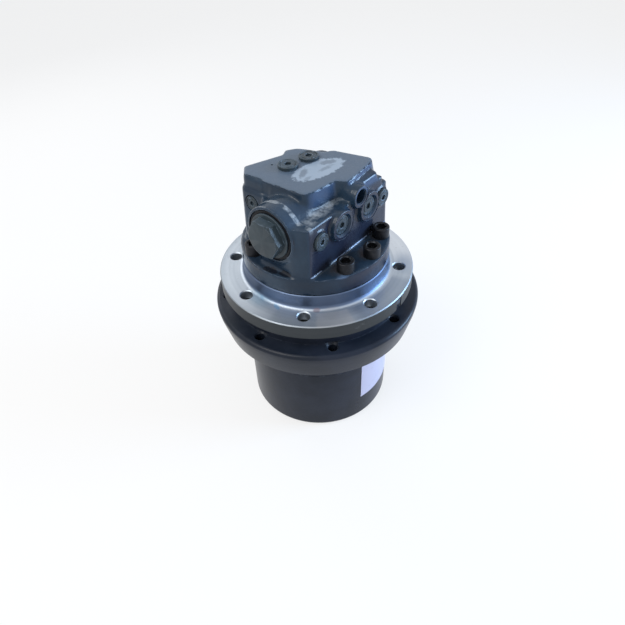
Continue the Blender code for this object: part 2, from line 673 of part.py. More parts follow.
def make_spindle():
    """Frame flange, spigot, motor room, bearing seats and the three posts of the second stage."""
    fillet = arc_profile((SPIGOT_R + SPIGOT_FILLET, FRAME_FACE_Z + SPIGOT_FILLET), SPIGOT_FILLET,
                         math.pi, 1.5 * math.pi)
    outline = [(0, SPIGOT_Z), (SPIGOT_R, SPIGOT_Z), *fillet,
               (FRAME_FLANGE_R - FRAME_FLANGE_CHAMFER, FRAME_FACE_Z),
               (FRAME_FLANGE_R, FRAME_FACE_Z - FRAME_FLANGE_CHAMFER), (FRAME_FLANGE_R, FRAME_BACK_Z),
               (SEAL_ROOM_R, FRAME_BACK_Z), (SEAL_ROOM_R, SEAL_ROOM_Z), (SHOULDER_R, SEAL_ROOM_Z)]
    lower = [(0, SEAL_ROOM_Z + OVERRUN), (SHOULDER_R, SEAL_ROOM_Z + OVERRUN), (SHOULDER_R, SHOULDER_Z),
             (SEAT_R, SHOULDER_Z), (SEAT_R, SPINDLE_END_Z + POST_R), (SEAT_R - POST_R / 2, SPINDLE_END_Z),
             (0, SPINDLE_END_Z)]
    rooms = [(0, SPIGOT_Z + OVERRUN), (BRAKE_ROOM_R, SPIGOT_Z + OVERRUN), (BRAKE_ROOM_R, BRAKE_FLOOR_Z),
             (DISC_ROOM_R, BRAKE_FLOOR_Z), (DISC_ROOM_R, DISC_FLOOR_Z), (MOTOR_ROOM_R, DISC_FLOOR_Z),
             (MOTOR_ROOM_R, MOTOR_FLOOR_Z), (FRONT_BEARING_R, MOTOR_FLOOR_Z),
             (FRONT_BEARING_R, FRONT_BEARING_Z), (SHAFT_SEAL_R, FRONT_BEARING_Z),
             (SHAFT_SEAL_R, SHAFT_SEAL_Z), (SPINDLE_THROAT_R, SHAFT_SEAL_Z),
             (SPINDLE_THROAT_R, SPINDLE_END_Z - OVERRUN), (0, SPINDLE_END_Z - OVERRUN)]
    outline.append((0, SEAL_ROOM_Z))
    piece = turned("spindle", outline, "turned_steel", FINE, closed=False)
    join(piece, turned("lower", lower, "turned_steel", ROUND, closed=False))
    cut(piece, turned("rooms", rooms, "turned_steel", INNER, closed=False))
    for place in frame_hole_places():
        cut(piece, rod("hole", FRAME_HOLE_R, FRAME_BACK_Z - OVERRUN, FRAME_FLANGE_T + 2 * OVERRUN, place))
    for angle in SCREW_ANGLES:
        depth = SCREW_L - BASE_T + OVERRUN
        place = polar(SCREW_CIRCLE_R, angle)
        cut(piece, rod("hole", SCREW_R + GAP, SPIGOT_Z - depth, depth + OVERRUN, place))
    notch_height = FRAME_FLANGE_T - RIM_NOTCH_BELOW
    notch = prism("notch", [(FRAME_FLANGE_R - RIM_NOTCH_DEPTH, -RIM_NOTCH_W / 2),
                            (FRAME_FLANGE_R + OVERRUN, -RIM_NOTCH_W / 2),
                            (FRAME_FLANGE_R + OVERRUN, RIM_NOTCH_W / 2),
                            (FRAME_FLANGE_R - RIM_NOTCH_DEPTH, RIM_NOTCH_W / 2)],
                  FRAME_BACK_Z - OVERRUN, notch_height + OVERRUN)
    notch.data.transform(Matrix.Rotation(RIM_NOTCH_ANGLE, 4, "Z"))
    cut(piece, notch)
    plate_z = STAGE_2_Z - GAP - RETAINER_T
    for k in range(PLANETS):
        place = polar(PITCH_2_R, TAU * k / PLANETS)
        foot = SPINDLE_END_Z + POST_R
        join(piece, rod("post", POST_R, STAGE_2_Z - GAP, foot - STAGE_2_Z + GAP, place))
        join(piece, rod("stub", POST_STUB_R, plate_z, foot - plate_z, place, TINY))
    return piece


def make_stage_2_retainer():
    """Plate on the stubs of the posts that keeps the second-stage planets in place."""
    plate_z = STAGE_2_Z - 2 * GAP - RETAINER_T
    ring = [(RETAINER_BORE_R, plate_z), (RETAINER_R, plate_z), (RETAINER_R, plate_z + RETAINER_T),
            (RETAINER_BORE_R, plate_z + RETAINER_T)]
    piece = turned("stage_2_retainer", ring, "ground_steel", INNER)
    for k in range(PLANETS):
        place = polar(PITCH_2_R, TAU * k / PLANETS)
        cut(piece, rod("hole", POST_STUB_R + GAP, plate_z - OVERRUN, RETAINER_T + 2 * OVERRUN, place, TINY))
    return piece


def make_hub():
    """Turning housing with the sprocket flange, the bearing bores and the seal neck."""
    foot = arc_profile((HUB_R - HUB_FOOT_ROUND, HUB_FOOT_ROUND), HUB_FOOT_ROUND, 1.5 * math.pi, TAU)
    under = arc_profile((HUB_R + SPROCKET_FILLET, SPROCKET_FACE_Z - SPROCKET_FILLET), SPROCKET_FILLET,
                        math.pi, math.pi / 2)
    top_round = (SPROCKET_RIM_R - SPROCKET_TOP_R)
    rim = [(SPROCKET_RIM_R - top_round * side, SPROCKET_TOP_Z - top_round * drop)
           for side, drop in SPROCKET_ROUND_SHARES]
    outline = [(0, 0), *foot, *under, (SPROCKET_ROOT_R, SPROCKET_FACE_Z), (SPROCKET_RIM_R, SPROCKET_RIM_Z),
               *rim, (SPROCKET_TOP_R, SPROCKET_TOP_Z), (HUB_NECK_ROOT_R, SPROCKET_TOP_Z),
               (HUB_NECK_R, SPROCKET_TOP_Z + HUB_NECK_ROOT_R - HUB_NECK_R),
               (HUB_NECK_R, HUB_NECK_TOP_Z), (0, HUB_NECK_TOP_Z)]
    inside = [(0, HUB_NECK_TOP_Z + OVERRUN), (SEAL_ROOM_R, HUB_NECK_TOP_Z + OVERRUN),
              (SEAL_ROOM_R, SHOULDER_Z),
              (HUB_BORE_R, SHOULDER_Z), (HUB_BORE_R, HUB_LIP_TOP_Z), (HUB_LIP_R, HUB_LIP_TOP_Z),
              (HUB_LIP_R, HUB_LIP_Z), (HUB_BORE_R, HUB_LIP_Z), (HUB_BORE_R, COVER_SEAT_Z),
              (COVER_BORE_R, COVER_SEAT_Z), (COVER_BORE_R, RING_GROOVE_Z + RING_GROOVE_H),
              (RING_GROOVE_R, RING_GROOVE_Z + RING_GROOVE_H), (RING_GROOVE_R, RING_GROOVE_Z),
              (COVER_BORE_R, RING_GROOVE_Z), (COVER_BORE_R, -OVERRUN), (0, -OVERRUN)]
    piece = turned("hub", outline, "hub_paint", FINE, closed=False)
    cut(piece, turned("inside", inside, "hub_paint", ROUND, closed=False))
    thickness = SPROCKET_TOP_Z - SPROCKET_FACE_Z
    mouth = SPROCKET_HOLE_MOUTH_R - SPROCKET_HOLE_R
    for k in range(SPROCKET_HOLES):
        hole = turned("hole", [(0, SPROCKET_FACE_Z - OVERRUN), (SPROCKET_HOLE_R, SPROCKET_FACE_Z - OVERRUN),
                               (SPROCKET_HOLE_R, SPROCKET_TOP_Z - mouth),
                               (SPROCKET_HOLE_MOUTH_R + OVERRUN, SPROCKET_FACE_Z + thickness + OVERRUN),
                               (0, SPROCKET_FACE_Z + thickness + OVERRUN)], steps=SMALL, closed=False)
        place = polar(SPROCKET_CIRCLE_R, SPROCKET_HOLE_PHASE + TAU * k / SPROCKET_HOLES)
        hole.data.transform(Matrix.Translation((*place, 0)))
        cut(piece, hole)
    return piece


def make_ring_gear():
    """Internal gear that both planetary stages run in."""
    piece = rod("ring_gear", HUB_BORE_R - GAP, RING_Z, RING_H, steps=ROUND, finish_name="gear_steel")
    space = gear_outline(RING_TEETH, 0, DEDENDUM_SHARE, ADDENDUM_SHARE, -BACKLASH / 2)
    return cut(piece, prism("space", space, RING_Z - OVERRUN, RING_H + 2 * OVERRUN))


def make_end_cover():
    """Cover in the end of the hub, with the thrust rib for the planets and the button for the sun."""
    reach = STAGE_1_Z - GAP
    top = COVER_Z + COVER_T
    outline = [(0, COVER_Z + COVER_RELIEF_DEPTH), (COVER_RELIEF_R, COVER_Z + COVER_RELIEF_DEPTH),
               (COVER_RELIEF_R, COVER_Z), (COVER_BORE_R - GAP, COVER_Z), (COVER_BORE_R - GAP, top),
               (COVER_RIB_R, top), (COVER_RIB_R, reach), (COVER_RIB_INNER_R, reach),
               (COVER_RIB_INNER_R, top), (COVER_BUTTON_R, top), (COVER_BUTTON_R, reach), (0, reach)]
    piece = turned("end_cover", outline, "hub_paint", ROUND, closed=False)
    for angle in COVER_PLUG_ANGLES:
        place = polar(COVER_CIRCLE_R, angle)
        cut(piece, rod("hole", COVER_PLUG_SHANK_R + GAP, COVER_Z - OVERRUN, COVER_T + 2 * OVERRUN, place))
        cut(piece, rod("seat", COVER_PLUG_R + GAP, COVER_Z - OVERRUN, PLUG_HEAD_T + OVERRUN, place))
    return piece


def make_snap_ring():
    """Open ring in the hub's groove that holds the cover."""
    height = RING_GROOVE_H - 2 * GAP
    bottom = RING_GROOVE_Z + GAP
    outer = RING_GROOVE_R - GAP
    piece = turned("cover_snap_ring", [(SNAP_RING_INNER_R, bottom), (outer, bottom), (outer, bottom + height),
                                       (SNAP_RING_INNER_R, bottom + height)], "spring_steel", ROUND)
    half = SNAP_RING_GAP / 2
    reach = outer + OVERRUN
    outline = [(0, 0), polar(reach, -half), polar(reach, half)]
    return cut(piece, prism("wedge", outline, bottom - OVERRUN, height + 2 * OVERRUN))


def ring(name, inner, outer, bottom, height, finish_name="ground_steel", steps=ROUND):
    """Plain ring."""
    top = bottom + height
    return turned(name, [(inner, bottom), (outer, bottom), (outer, top), (inner, top)], finish_name, steps)


def roller_outline(side):
    """Outer or inner edge of a roller cage seen along its axis, with the rollers standing out of it."""
    middle = roller_circle()
    web = middle + side * CAGE_T / 2
    crown = middle + side * ROLLER_R
    half = ROLLER_R / middle
    points = []
    for k in range(ROLLERS):
        angle = TAU * k / ROLLERS
        points.append(polar(web, angle - half))
        points += [polar(crown, angle + half * share) for share in ROLLER_FACE_SHARES]
        points.append(polar(web, angle + half))
    return points


def make_bearing(level, bottom):
    """Cone, cup and roller cage of one main bearing."""
    cone = ring("bearing_inner_" + level, SEAT_R + GAP, SEAT_R + GAP + CONE_T, bottom, BEARING_W)
    cup = ring("bearing_outer_" + level, BEARING_OUTER_R - CUP_T, BEARING_OUTER_R, bottom, BEARING_W)
    floor = bottom + (BEARING_W - ROLLER_L) / 2
    cage = prism("bearing_rollers_" + level, roller_outline(1), floor, ROLLER_L, "bronze")
    cut(cage, prism("inside", roller_outline(-1), floor - OVERRUN, ROLLER_L + 2 * OVERRUN))
    return cone, cup, cage


def roller_circle():
    """Radius of the circle of the main bearings' rollers, midway between cone and cup."""
    return (SEAT_R + GAP + CONE_T + BEARING_OUTER_R - CUP_T) / 2


def make_bearing_nut():
    """Slotted nut under the lower bearing."""
    piece = ring("bearing_nut", SEAT_R + GAP, NUT_R, NUT_Z, NUT_H, "gear_steel")
    for k in range(NUT_SLOTS):
        slot = prism("slot", [(NUT_R - NUT_SLOT_W / 2, -NUT_SLOT_W / 2), (NUT_R + OVERRUN, -NUT_SLOT_W / 2),
                              (NUT_R + OVERRUN, NUT_SLOT_W / 2), (NUT_R - NUT_SLOT_W / 2, NUT_SLOT_W / 2)],
                     NUT_Z - OVERRUN, NUT_SLOT_W / 2 + OVERRUN)
        slot.data.transform(Matrix.Rotation(TAU * k / NUT_SLOTS, 4, "Z"))
        cut(piece, slot)
    return piece


def make_seal_half(name, cord_name, side):
    """One metal ring of the face seal and its rubber cord; side is 1 on the spindle, -1 on the hub."""
    face = SEAL_PLANE_Z + side * GAP / 2
    room = SEAL_ROOM_Z - SEAL_PLANE_Z
    lip = face + side * SEAL_LIP_T
    tail = SEAL_PLANE_Z + side * (room - GAP)
    outline = [(SEAL_INNER_R, face), (SEAL_LIP_R, face), (SEAL_LIP_R, lip), (SEAL_TAIL_R, lip),
               (SEAL_TAIL_R, tail), (SEAL_INNER_R, tail)]
    metal = turned(name, outline, "ground_steel", INNER)
    middle_r = (SEAL_TAIL_R + SEAL_ROOM_R) / 2
    middle_z = (lip + SEAL_PLANE_Z + side * room) / 2
    radius = (SEAL_ROOM_R - SEAL_TAIL_R) / 2 - 3 * GAP
    sides = [polar(radius, TAU * k / SEAL_CORD_SIDES) for k in range(SEAL_CORD_SIDES)]
    round_outline = [(middle_r + across, middle_z + rise) for across, rise in sides]
    cord = turned(cord_name, round_outline, "rubber", INNER)
    return metal, cord


def make_planets(stage, teeth, bottom, height, circle):
    """The three planets of a stage, each with its origin on its own axis."""
    planets = []
    for k in range(PLANETS):
        angle = TAU * k / PLANETS
        turn = planet_turn(angle, teeth)
        piece = gear("stage_%d_planet_%d" % (stage, k + 1), teeth, turn, bottom, height, PLANET_BORE_R)
        piece.location = (*polar(circle, angle), 0)
        planets.append(piece)
    return planets


def make_sun_1():
    """Sun of the first stage on its long shaft, which plugs into the motor shaft."""
    outline = gear_outline(SUN_1_TEETH, sun_turn(SUN_1_TEETH, PLANET_1_TEETH))
    piece = prism("sun_shaft", outline, STAGE_1_Z, STAGE_1_H, "gear_steel")
    shaft_z = STAGE_1_Z + STAGE_1_H / 2
    return join(piece, rod("bar", SUN_SHAFT_R, shaft_z, SUN_SHAFT_TOP_Z - shaft_z))


def make_sun_2():
    """Sun of the second stage with the tail that the first carrier drives."""
    outline = gear_outline(SUN_2_TEETH, sun_turn(SUN_2_TEETH, PLANET_2_TEETH))
    piece = prism("stage_2_sun", outline, STAGE_2_Z, STAGE_2_H, "gear_steel")
    tail_top = STAGE_2_Z + STAGE_2_H / 2
    join(piece, rod("tail", SUN_2_TAIL_R, CARRIER_Z, tail_top - CARRIER_Z, steps=SMALL))
    return cut(piece, rod("bore", SUN_2_BORE_R, CARRIER_Z - OVERRUN,
                          STAGE_2_Z + STAGE_2_H - CARRIER_Z + 2 * OVERRUN))


def make_carrier():
    """Three-armed plate of the first stage with its planet pins."""
    steps = PLANETS * CARRIER_POINTS
    outline = []
    for k in range(steps):
        angle = TAU * k / steps
        wave = (1 + math.cos(PLANETS * angle)) / 2
        outline.append(polar(CARRIER_R * (CARRIER_WAIST_SHARE + (1 - CARRIER_WAIST_SHARE) * wave), angle))
    piece = prism("stage_1_carrier", outline, CARRIER_Z, CARRIER_T, "gear_steel")
    cut(piece, rod("bore", SUN_2_TAIL_R + GAP, CARRIER_Z - OVERRUN, CARRIER_T + 2 * OVERRUN))
    pin_z = STAGE_1_Z + GAP
    for k in range(PLANETS):
        place = polar(PITCH_1_R, TAU * k / PLANETS)
        join(piece, rod("pin", POST_R, pin_z, CARRIER_Z + CARRIER_T / 2 - pin_z, place))
    return piece


def make_motor_shaft():
    """Shaft through the motor, with the socket that takes the sun shaft."""
    socket = SUN_SHAFT_R + GAP
    outline = [(0, SHAFT_BOTTOM_Z + SHAFT_SOCKET_DEPTH), (socket, SHAFT_BOTTOM_Z + SHAFT_SOCKET_DEPTH),
               (socket, SHAFT_BOTTOM_Z), (SHAFT_LOW_R, SHAFT_BOTTOM_Z), (SHAFT_LOW_R, MOTOR_FLOOR_Z),
               (SHAFT_R, MOTOR_FLOOR_Z), (SHAFT_R, SHAFT_TAIL_Z), (SHAFT_TAIL_R, SHAFT_TAIL_Z),
               (SHAFT_TAIL_R, SHAFT_TOP_Z), (0, SHAFT_TOP_Z)]
    return turned("motor_shaft", outline, "gear_steel", SMALL, closed=False)


def make_front_bearing():
    """Cup in the spindle, and cone with its rollers on the motor shaft."""
    height = FRONT_BEARING_H - 2 * GAP
    bottom = FRONT_BEARING_Z + GAP
    wall = NEEDLE_T
    outer = FRONT_BEARING_R - GAP
    cup = ring("shaft_bearing_cup", outer - wall, outer, bottom, height, steps=INNER)
    inner = SHAFT_LOW_R + GAP
    cone = ring("shaft_bearing_cone", inner, inner + wall, bottom, height, steps=INNER)
    space = FRONT_BEARING_R - 2 * GAP - wall - inner - wall
    middle = inner + wall + space / 2 - 3 * GAP
    for k in range(FRONT_ROLLERS):
        place = polar(middle, TAU * k / FRONT_ROLLERS)
        join(cone, rod("roller", space / 2, bottom + GAP, height - 2 * GAP, place, FLAT))
    return cup, cone


def make_swash_plate():
    """Plate that the piston shoes slide on."""
    return ring("swash_plate", SWASH_BORE_R, SWASH_R, SWASH_Z, SWASH_T, "gear_steel", INNER)


def make_piston_set():
    """Pistons and shoes, held together by the retainer plate."""
    plate_z = SHOE_Z + SHOE_T - PLATE_T / 2
    piece = ring("piston_set", SWASH_BORE_R, PLATE_R, plate_z, PLATE_T, "ground_steel", INNER)
    top = CYLINDER_Z + PISTON_STROKE_Z
    for k in range(PISTONS):
        place = polar(PISTON_CIRCLE_R, TAU * k / PISTONS)
        foot = SHOE_Z + SHOE_T / 2
        join(piece, rod("shoe", SHOE_R, SHOE_Z, SHOE_T, place, TINY))
        join(piece, rod("piston", PISTON_R, foot, top - foot, place, TINY))
    return piece


def make_cylinder_block():
    """Block with the cylinder bores, which turns with the shaft."""
    height = CYLINDER_TOP_Z - CYLINDER_Z
    piece = ring("cylinder_block", SHAFT_R + GAP, CYLINDER_R, CYLINDER_Z, height, "gear_steel", INNER)
    for k in range(PISTONS):
        place = polar(PISTON_CIRCLE_R, TAU * k / PISTONS)
        cut(piece, rod("bore", PISTON_R + GAP, CYLINDER_Z - OVERRUN, CYLINDER_BORE_H + OVERRUN, place, TINY))
    return piece


def make_valve_plate():
    """Port plate between cylinder block and valve block, with its two kidney slots."""
    height = VALVE_PLATE_T - GAP
    piece = ring("valve_plate", SHAFT_R + GAP, CYLINDER_R - GAP, VALVE_PLATE_Z, height, "bronze", INNER)
    half = KIDNEY_SPAN / 2
    for side in (0, math.pi):
        sweep = [side - half + KIDNEY_SPAN * k / KIDNEY_POINTS for k in range(KIDNEY_POINTS + 1)]
        slot = [polar(PISTON_CIRCLE_R + KIDNEY_W / 2, a) for a in sweep]
        slot += [polar(PISTON_CIRCLE_R - KIDNEY_W / 2, a) for a in reversed(sweep)]
        cut(piece, prism("kidney", slot, VALVE_PLATE_Z - OVERRUN, height + 2 * OVERRUN))
    return piece


def make_brake():
    """Friction disc, piston and disc spring of the parking brake."""
    disc = ring("friction_disc", CYLINDER_R + GAP, DISC_ROOM_R - OVERRUN, FRICTION_DISC_Z,
                FRICTION_DISC_T, "bronze", INNER)
    inner = BRAKE_PISTON_INNER_R
    lower = DISC_ROOM_R - GAP
    upper = BRAKE_ROOM_R - GAP
    step_z = BRAKE_FLOOR_Z + OVERRUN
    top = BRAKE_PISTON_Z + BRAKE_PISTON_H
    outline = [(inner, BRAKE_PISTON_Z), (lower, BRAKE_PISTON_Z), (lower, step_z), (upper, step_z),
               (upper, top), (inner, top)]
    piston = turned("brake_piston", outline, "gear_steel", INNER)
    high = SPIGOT_Z - BRAKE_SPRING_T
    cone = [(BRAKE_SPRING_INNER_R, high), (BRAKE_SPRING_R, BRAKE_SPRING_Z),
            (BRAKE_SPRING_R, BRAKE_SPRING_Z + BRAKE_SPRING_T), (BRAKE_SPRING_INNER_R, SPIGOT_Z)]
    return disc, piston, turned("brake_spring", cone, "spring_steel", INNER)


def port_tool(radius, mouth, depth):
    """Bore with a chamfered mouth, with its seat at z = 0 and its depth along +Z."""
    slope = mouth - radius
    return turned("bore", [(0, -OVERRUN), (mouth + OVERRUN, -OVERRUN), (radius, slope), (radius, depth),
                           (0, depth)], steps=SMALL, closed=False)


def bore_port(block, x, z, seat_y, radius, mouth, depth):
    """Cut one port into the port face."""
    cut(block, aim(port_tool(radius, mouth, depth), (x, seat_y, z), (0, 1, 0)))


def make_valve_block():
    """Painted casting with the ports, the counterbalance bore and the screw ledge."""
    block = soften(rod("valve_block", BASE_R, BASE_Z, BASE_T, steps=FINE, finish_name="block_paint"),
                   BASE_ROUND, 1)
    foot = LEDGE_Z - BASE_T / 2
    plan = ((BODY_LEFT_X, PORT_FACE_Y, BODY_CORNER), (BODY_RIGHT_X, PORT_FACE_Y, BODY_TIGHT_CORNER),
            (BODY_RIGHT_X, BODY_BACK_Y, BODY_CORNER),
            (BODY_STEP_X + COLUMN_FOOT_W, BODY_BACK_Y, BODY_TIGHT_CORNER),
            (BODY_STEP_X + COLUMN_W, COLUMN_BACK_Y - COLUMN_RIGHT_Y, BODY_TIGHT_CORNER),
            (BODY_STEP_X + COLUMN_BEVEL_W, COLUMN_BACK_Y, BODY_TIGHT_CORNER),
            (BODY_STEP_X, COLUMN_BACK_Y - COLUMN_BEVEL_L, BODY_TIGHT_CORNER),
            (BODY_STEP_X, BODY_STEP_Y, BODY_CORNER), (BODY_LEFT_X, BODY_STEP_Y, BODY_CORNER))
    outline = rounded([(x, y) for x, y, radius in plan], [radius for x, y, radius in plan], 3)
    body = soften(prism("body", outline, foot, BODY_TOP_Z - foot), BODY_ROUND, 2, LEDGE_Z)
    low = [(BODY_LOW_X, -BASE_R), (BASE_R, -BASE_R), (BASE_R, BODY_LOW_Y), (BODY_LOW_X, BODY_LOW_Y)]
    join(block, cut(body, prism("low", low, BODY_TOP_Z - BODY_LOW_DEPTH, BODY_LOW_DEPTH + OVERRUN)))
    top_points = [(x * CROWN_L, y * CROWN_L) for x, y in CROWN_SHARES]
    crown = prism("crown", rounded(top_points, [CROWN_CORNER] * len(top_points), 2), foot, BLOCK_TOP_Z - foot)
    join(block, soften(crown, CROWN_ROUND, 1, BODY_TOP_Z))
    pad_y = PORT_FACE_Y + PAD_SETBACK
    pad_back = pad_y + PAD_DEPTH
    pad = [(PAD_LEFT_X, pad_y), (PAD_RIGHT_X, pad_y), (PAD_RIGHT_X, pad_back), (PAD_LEFT_X, pad_back)]
    pad_solid = prism("pad", rounded(pad, [CROWN_CORNER] * len(pad), 2), foot, PAD_TOP_Z - foot)
    join(block, soften(pad_solid, CROWN_ROUND, 1, BODY_TOP_Z))
    boss = rod("boss", CAP_BOSS_R, 0, CAP_BOSS_X - CROWN_L / 2, steps=ROUND)
    join(block, aim(boss, (-CROWN_L / 2, SPOOL_Y, SPOOL_Z), (-1, 0, 0)))
    bosses = [(DRAIN_X, DRAIN_Z, DRAIN_BOSS_R, DRAIN_BOSS_H)]
    bosses += [(x, PORT_Z, PORT_BOSS_R, PORT_BOSS_H) for x in (PORT_A_X, PORT_B_X)]
    bosses += [(x, GAUGE_Z, GAUGE_BOSS_R, GAUGE_BOSS_H) for x in GAUGE_X]
    for x, z, radius, height in bosses:
        boss = rod("boss", radius, 0, height + PAD_DEPTH / 2, steps=INNER)
        join(block, aim(boss, (x, PORT_FACE_Y + PAD_DEPTH / 2, z), (0, -1, 0)))
    seat_y = PORT_FACE_Y - PORT_BOSS_H
    for x in (PORT_A_X, PORT_B_X):
        bore_port(block, x, PORT_Z, seat_y, PORT_BORE_R, PORT_MOUTH_R, PORT_BORE_DEPTH)
    bore_port(block, DRAIN_X, DRAIN_Z, PORT_FACE_Y - DRAIN_BOSS_H, DRAIN_BORE_R, DRAIN_MOUTH_R, DRAIN_DEPTH)
    for x in GAUGE_X:
        hole = rod("hole", GAUGE_BORE_R, -OVERRUN, GAUGE_DEPTH + OVERRUN)
        cut(block, aim(hole, (x, PORT_FACE_Y - GAUGE_BOSS_H, GAUGE_Z), (0, 1, 0)))
    side_x = BODY_STEP_X + SIDE_SEAT_DEPTH
    seat = rod("seat", SIDE_SEAT_R, -SIDE_SEAT_DEPTH - OVERRUN, SIDE_SEAT_DEPTH + OVERRUN)
    cut(block, aim(seat, (side_x, SIDE_PLUG_Y, SIDE_PLUG_Z), (1, 0, 0)))
    hole = rod("hole", SIDE_PLUG_BORE_R, -OVERRUN, GAUGE_DEPTH + OVERRUN)
    cut(block, aim(hole, (side_x, SIDE_PLUG_Y, SIDE_PLUG_Z), (1, 0, 0)))
    for place in TOP_PLUG_PLACES:
        bottom = BLOCK_TOP_Z - TOP_PLUG_DEPTH
        cut(block, rod("hole", TOP_PLUG_BORE_R, bottom, TOP_PLUG_DEPTH + OVERRUN, place))
    through = CAP_BOSS_X + OVERRUN
    cut(block, aim(rod("bore", SPOOL_BORE_R, 0, 2 * through), (-through, SPOOL_Y, SPOOL_Z), (1, 0, 0)))
    thread = rod("thread", CAP_THREAD_R + GAP, 0, CAP_THREAD_L + GAP + OVERRUN, steps=INNER)
    cut(block, aim(thread, (-through, SPOOL_Y, SPOOL_Z), (1, 0, 0)))
    thread = rod("thread", END_PLUG_R + GAP, 0, END_PLUG_L + GAP + OVERRUN)
    cut(block, aim(thread, (BODY_RIGHT_X + OVERRUN, SPOOL_Y, SPOOL_Z), (-1, 0, 0)))
    cut(block, rod("shaft_bore", SHAFT_TAIL_R + 3 * GAP + NEEDLE_T, BASE_Z - OVERRUN,
                   NEEDLE_H + GAP + 2 * OVERRUN, steps=INNER))
    for side in (-1, 1):
        place = (side * PISTON_CIRCLE_R, SPOOL_Y)
        cut(block, rod("passage", KIDNEY_W / 2, BASE_Z - OVERRUN, SPOOL_Z - BASE_Z, place, TINY))
    for angle in SCREW_ANGLES:
        place = polar(SCREW_CIRCLE_R, angle)
        cut(block, rod("hole", SCREW_R + GAP, BASE_Z - OVERRUN, BASE_T + 2 * OVERRUN, place))
    return block


def hex_socket_screw(name, head_r, head_h, shank_r, shank_l, socket_af, socket_depth, chamfer, finish_name,
                     steps=SMALL):
    """Screw or plug along Z: the seat of its head is at z = 0 and the shank goes down."""
    outline = [(0, -shank_l), (shank_r, -shank_l), (shank_r, 0), (head_r, 0), (head_r, head_h - chamfer),
               (head_r - chamfer, head_h), (0, head_h)]
    piece = turned(name, outline, finish_name, steps, closed=False)
    return cut(piece, prism("socket", hexagon(socket_af), head_h - socket_depth, socket_depth + OVERRUN))


def make_block_screws():
    """Socket screws on the ledge that hold the valve block to the spindle."""
    screws = []
    for k, angle in enumerate(SCREW_ANGLES):
        screw = hex_socket_screw("block_screw_%d" % (k + 1), SCREW_HEAD_R, SCREW_HEAD_H, SCREW_R, SCREW_L,
                                 SCREW_SOCKET_AF, SCREW_SOCKET_DEPTH, SCREW_CHAMFER, "black_oxide")
        screw.location = (*polar(SCREW_CIRCLE_R, angle), LEDGE_Z + GAP)
        screws.append(screw)
    return screws


def plug(name, head_r, shank_r, shank_l, place, direction, finish_name="plug_paint"):
    """Hexagon-socket plug with a collar, whose seat is at place and whose head points along direction."""
    piece = hex_socket_screw(name, head_r, PLUG_HEAD_T, shank_r, shank_l, head_r * SOCKET_AF_SHARE,
                             PLUG_HEAD_T * SOCKET_DEPTH_SHARE, SCREW_CHAMFER / 2, finish_name)
    return aim(piece, place, direction)


def make_plugs():
    """All the plugs of the valve block."""
    pieces = []
    seat_y = PORT_FACE_Y - PORT_BOSS_H + PORT_PLUG_DEEP + PLUG_HEAD_T
    for letter, x in (("a", PORT_A_X), ("b", PORT_B_X)):
        pieces.append(plug("port_plug_" + letter, PORT_PLUG_R, PORT_PLUG_R - PORT_PLUG_STEP, PORT_PLUG_H,
                           (x, seat_y, PORT_Z), (0, -1, 0)))
    for k, x in enumerate(GAUGE_X):
        seat_y = PORT_FACE_Y - GAUGE_BOSS_H - GAP
        pieces.append(plug("gauge_plug_%d" % (k + 1), GAUGE_PLUG_R, GAUGE_BORE_R - GAP, GAUGE_DEPTH - OVERRUN,
                           (x, seat_y, GAUGE_Z), (0, -1, 0)))
    pieces.append(plug("side_plug", SIDE_PLUG_R, SIDE_PLUG_BORE_R - GAP, GAUGE_DEPTH - OVERRUN,
                       (BODY_STEP_X + SIDE_SEAT_DEPTH - GAP, SIDE_PLUG_Y, SIDE_PLUG_Z), (-1, 0, 0)))
    for k, (x, y) in enumerate(TOP_PLUG_PLACES):
        pieces.append(plug("top_plug_%d" % (k + 1), TOP_PLUG_R, TOP_PLUG_BORE_R - GAP,
                           TOP_PLUG_DEPTH - OVERRUN, (x, y, BLOCK_TOP_Z + GAP), (0, 0, 1)))
    return pieces


def make_cover_plugs():
    """Oil plugs in the end cover."""
    pieces = []
    for k, angle in enumerate(COVER_PLUG_ANGLES):
        place = (*polar(COVER_CIRCLE_R, angle), COVER_Z + PLUG_HEAD_T - GAP)
        pieces.append(plug("cover_plug_%d" % (k + 1), COVER_PLUG_R, COVER_PLUG_SHANK_R,
                           COVER_T - PLUG_HEAD_T - 2 * GAP, place, (0, 0, -1), "gear_steel"))
    return pieces


def make_spool_cap():
    """Hexagon cap that closes the left end of the counterbalance bore and holds its spring."""
    inner = -CAP_THREAD_L
    hex_top = CAP_COLLAR_T + CAP_HEX_T
    outline = [(0, inner), (CAP_THREAD_R, inner), (CAP_THREAD_R, 0), (CAP_COLLAR_R, 0),
               (CAP_COLLAR_R, CAP_COLLAR_T), (0, CAP_COLLAR_T)]
    piece = turned("spool_cap", outline, "plug_paint", INNER, closed=False)
    head = prism("head", hexagon(CAP_HEX_AF), CAP_COLLAR_T / 2, hex_top - CAP_COLLAR_T / 2)
    corner = CAP_HEX_AF / 2 / math.cos(TAU / 12)
    dome = turned("dome", [(0, 0), (corner + OVERRUN, 0),
                           (corner + OVERRUN, hex_top - CAP_CHAMFER - OVERRUN / 2),
                           (corner - CAP_CHAMFER, hex_top), (0, hex_top)], steps=INNER, closed=False)
    combine(head, dome, "INTERSECT")
    join(piece, head)
    depth = SPOOL_LENGTH / 2 + CAP_BORE_L - CAP_COLLAR_X + CAP_THREAD_L
    cut(piece, rod("room", CAP_BORE_R, inner - OVERRUN, depth + OVERRUN))
    return aim(piece, (-CAP_COLLAR_X, SPOOL_Y, SPOOL_Z), (-1, 0, 0))


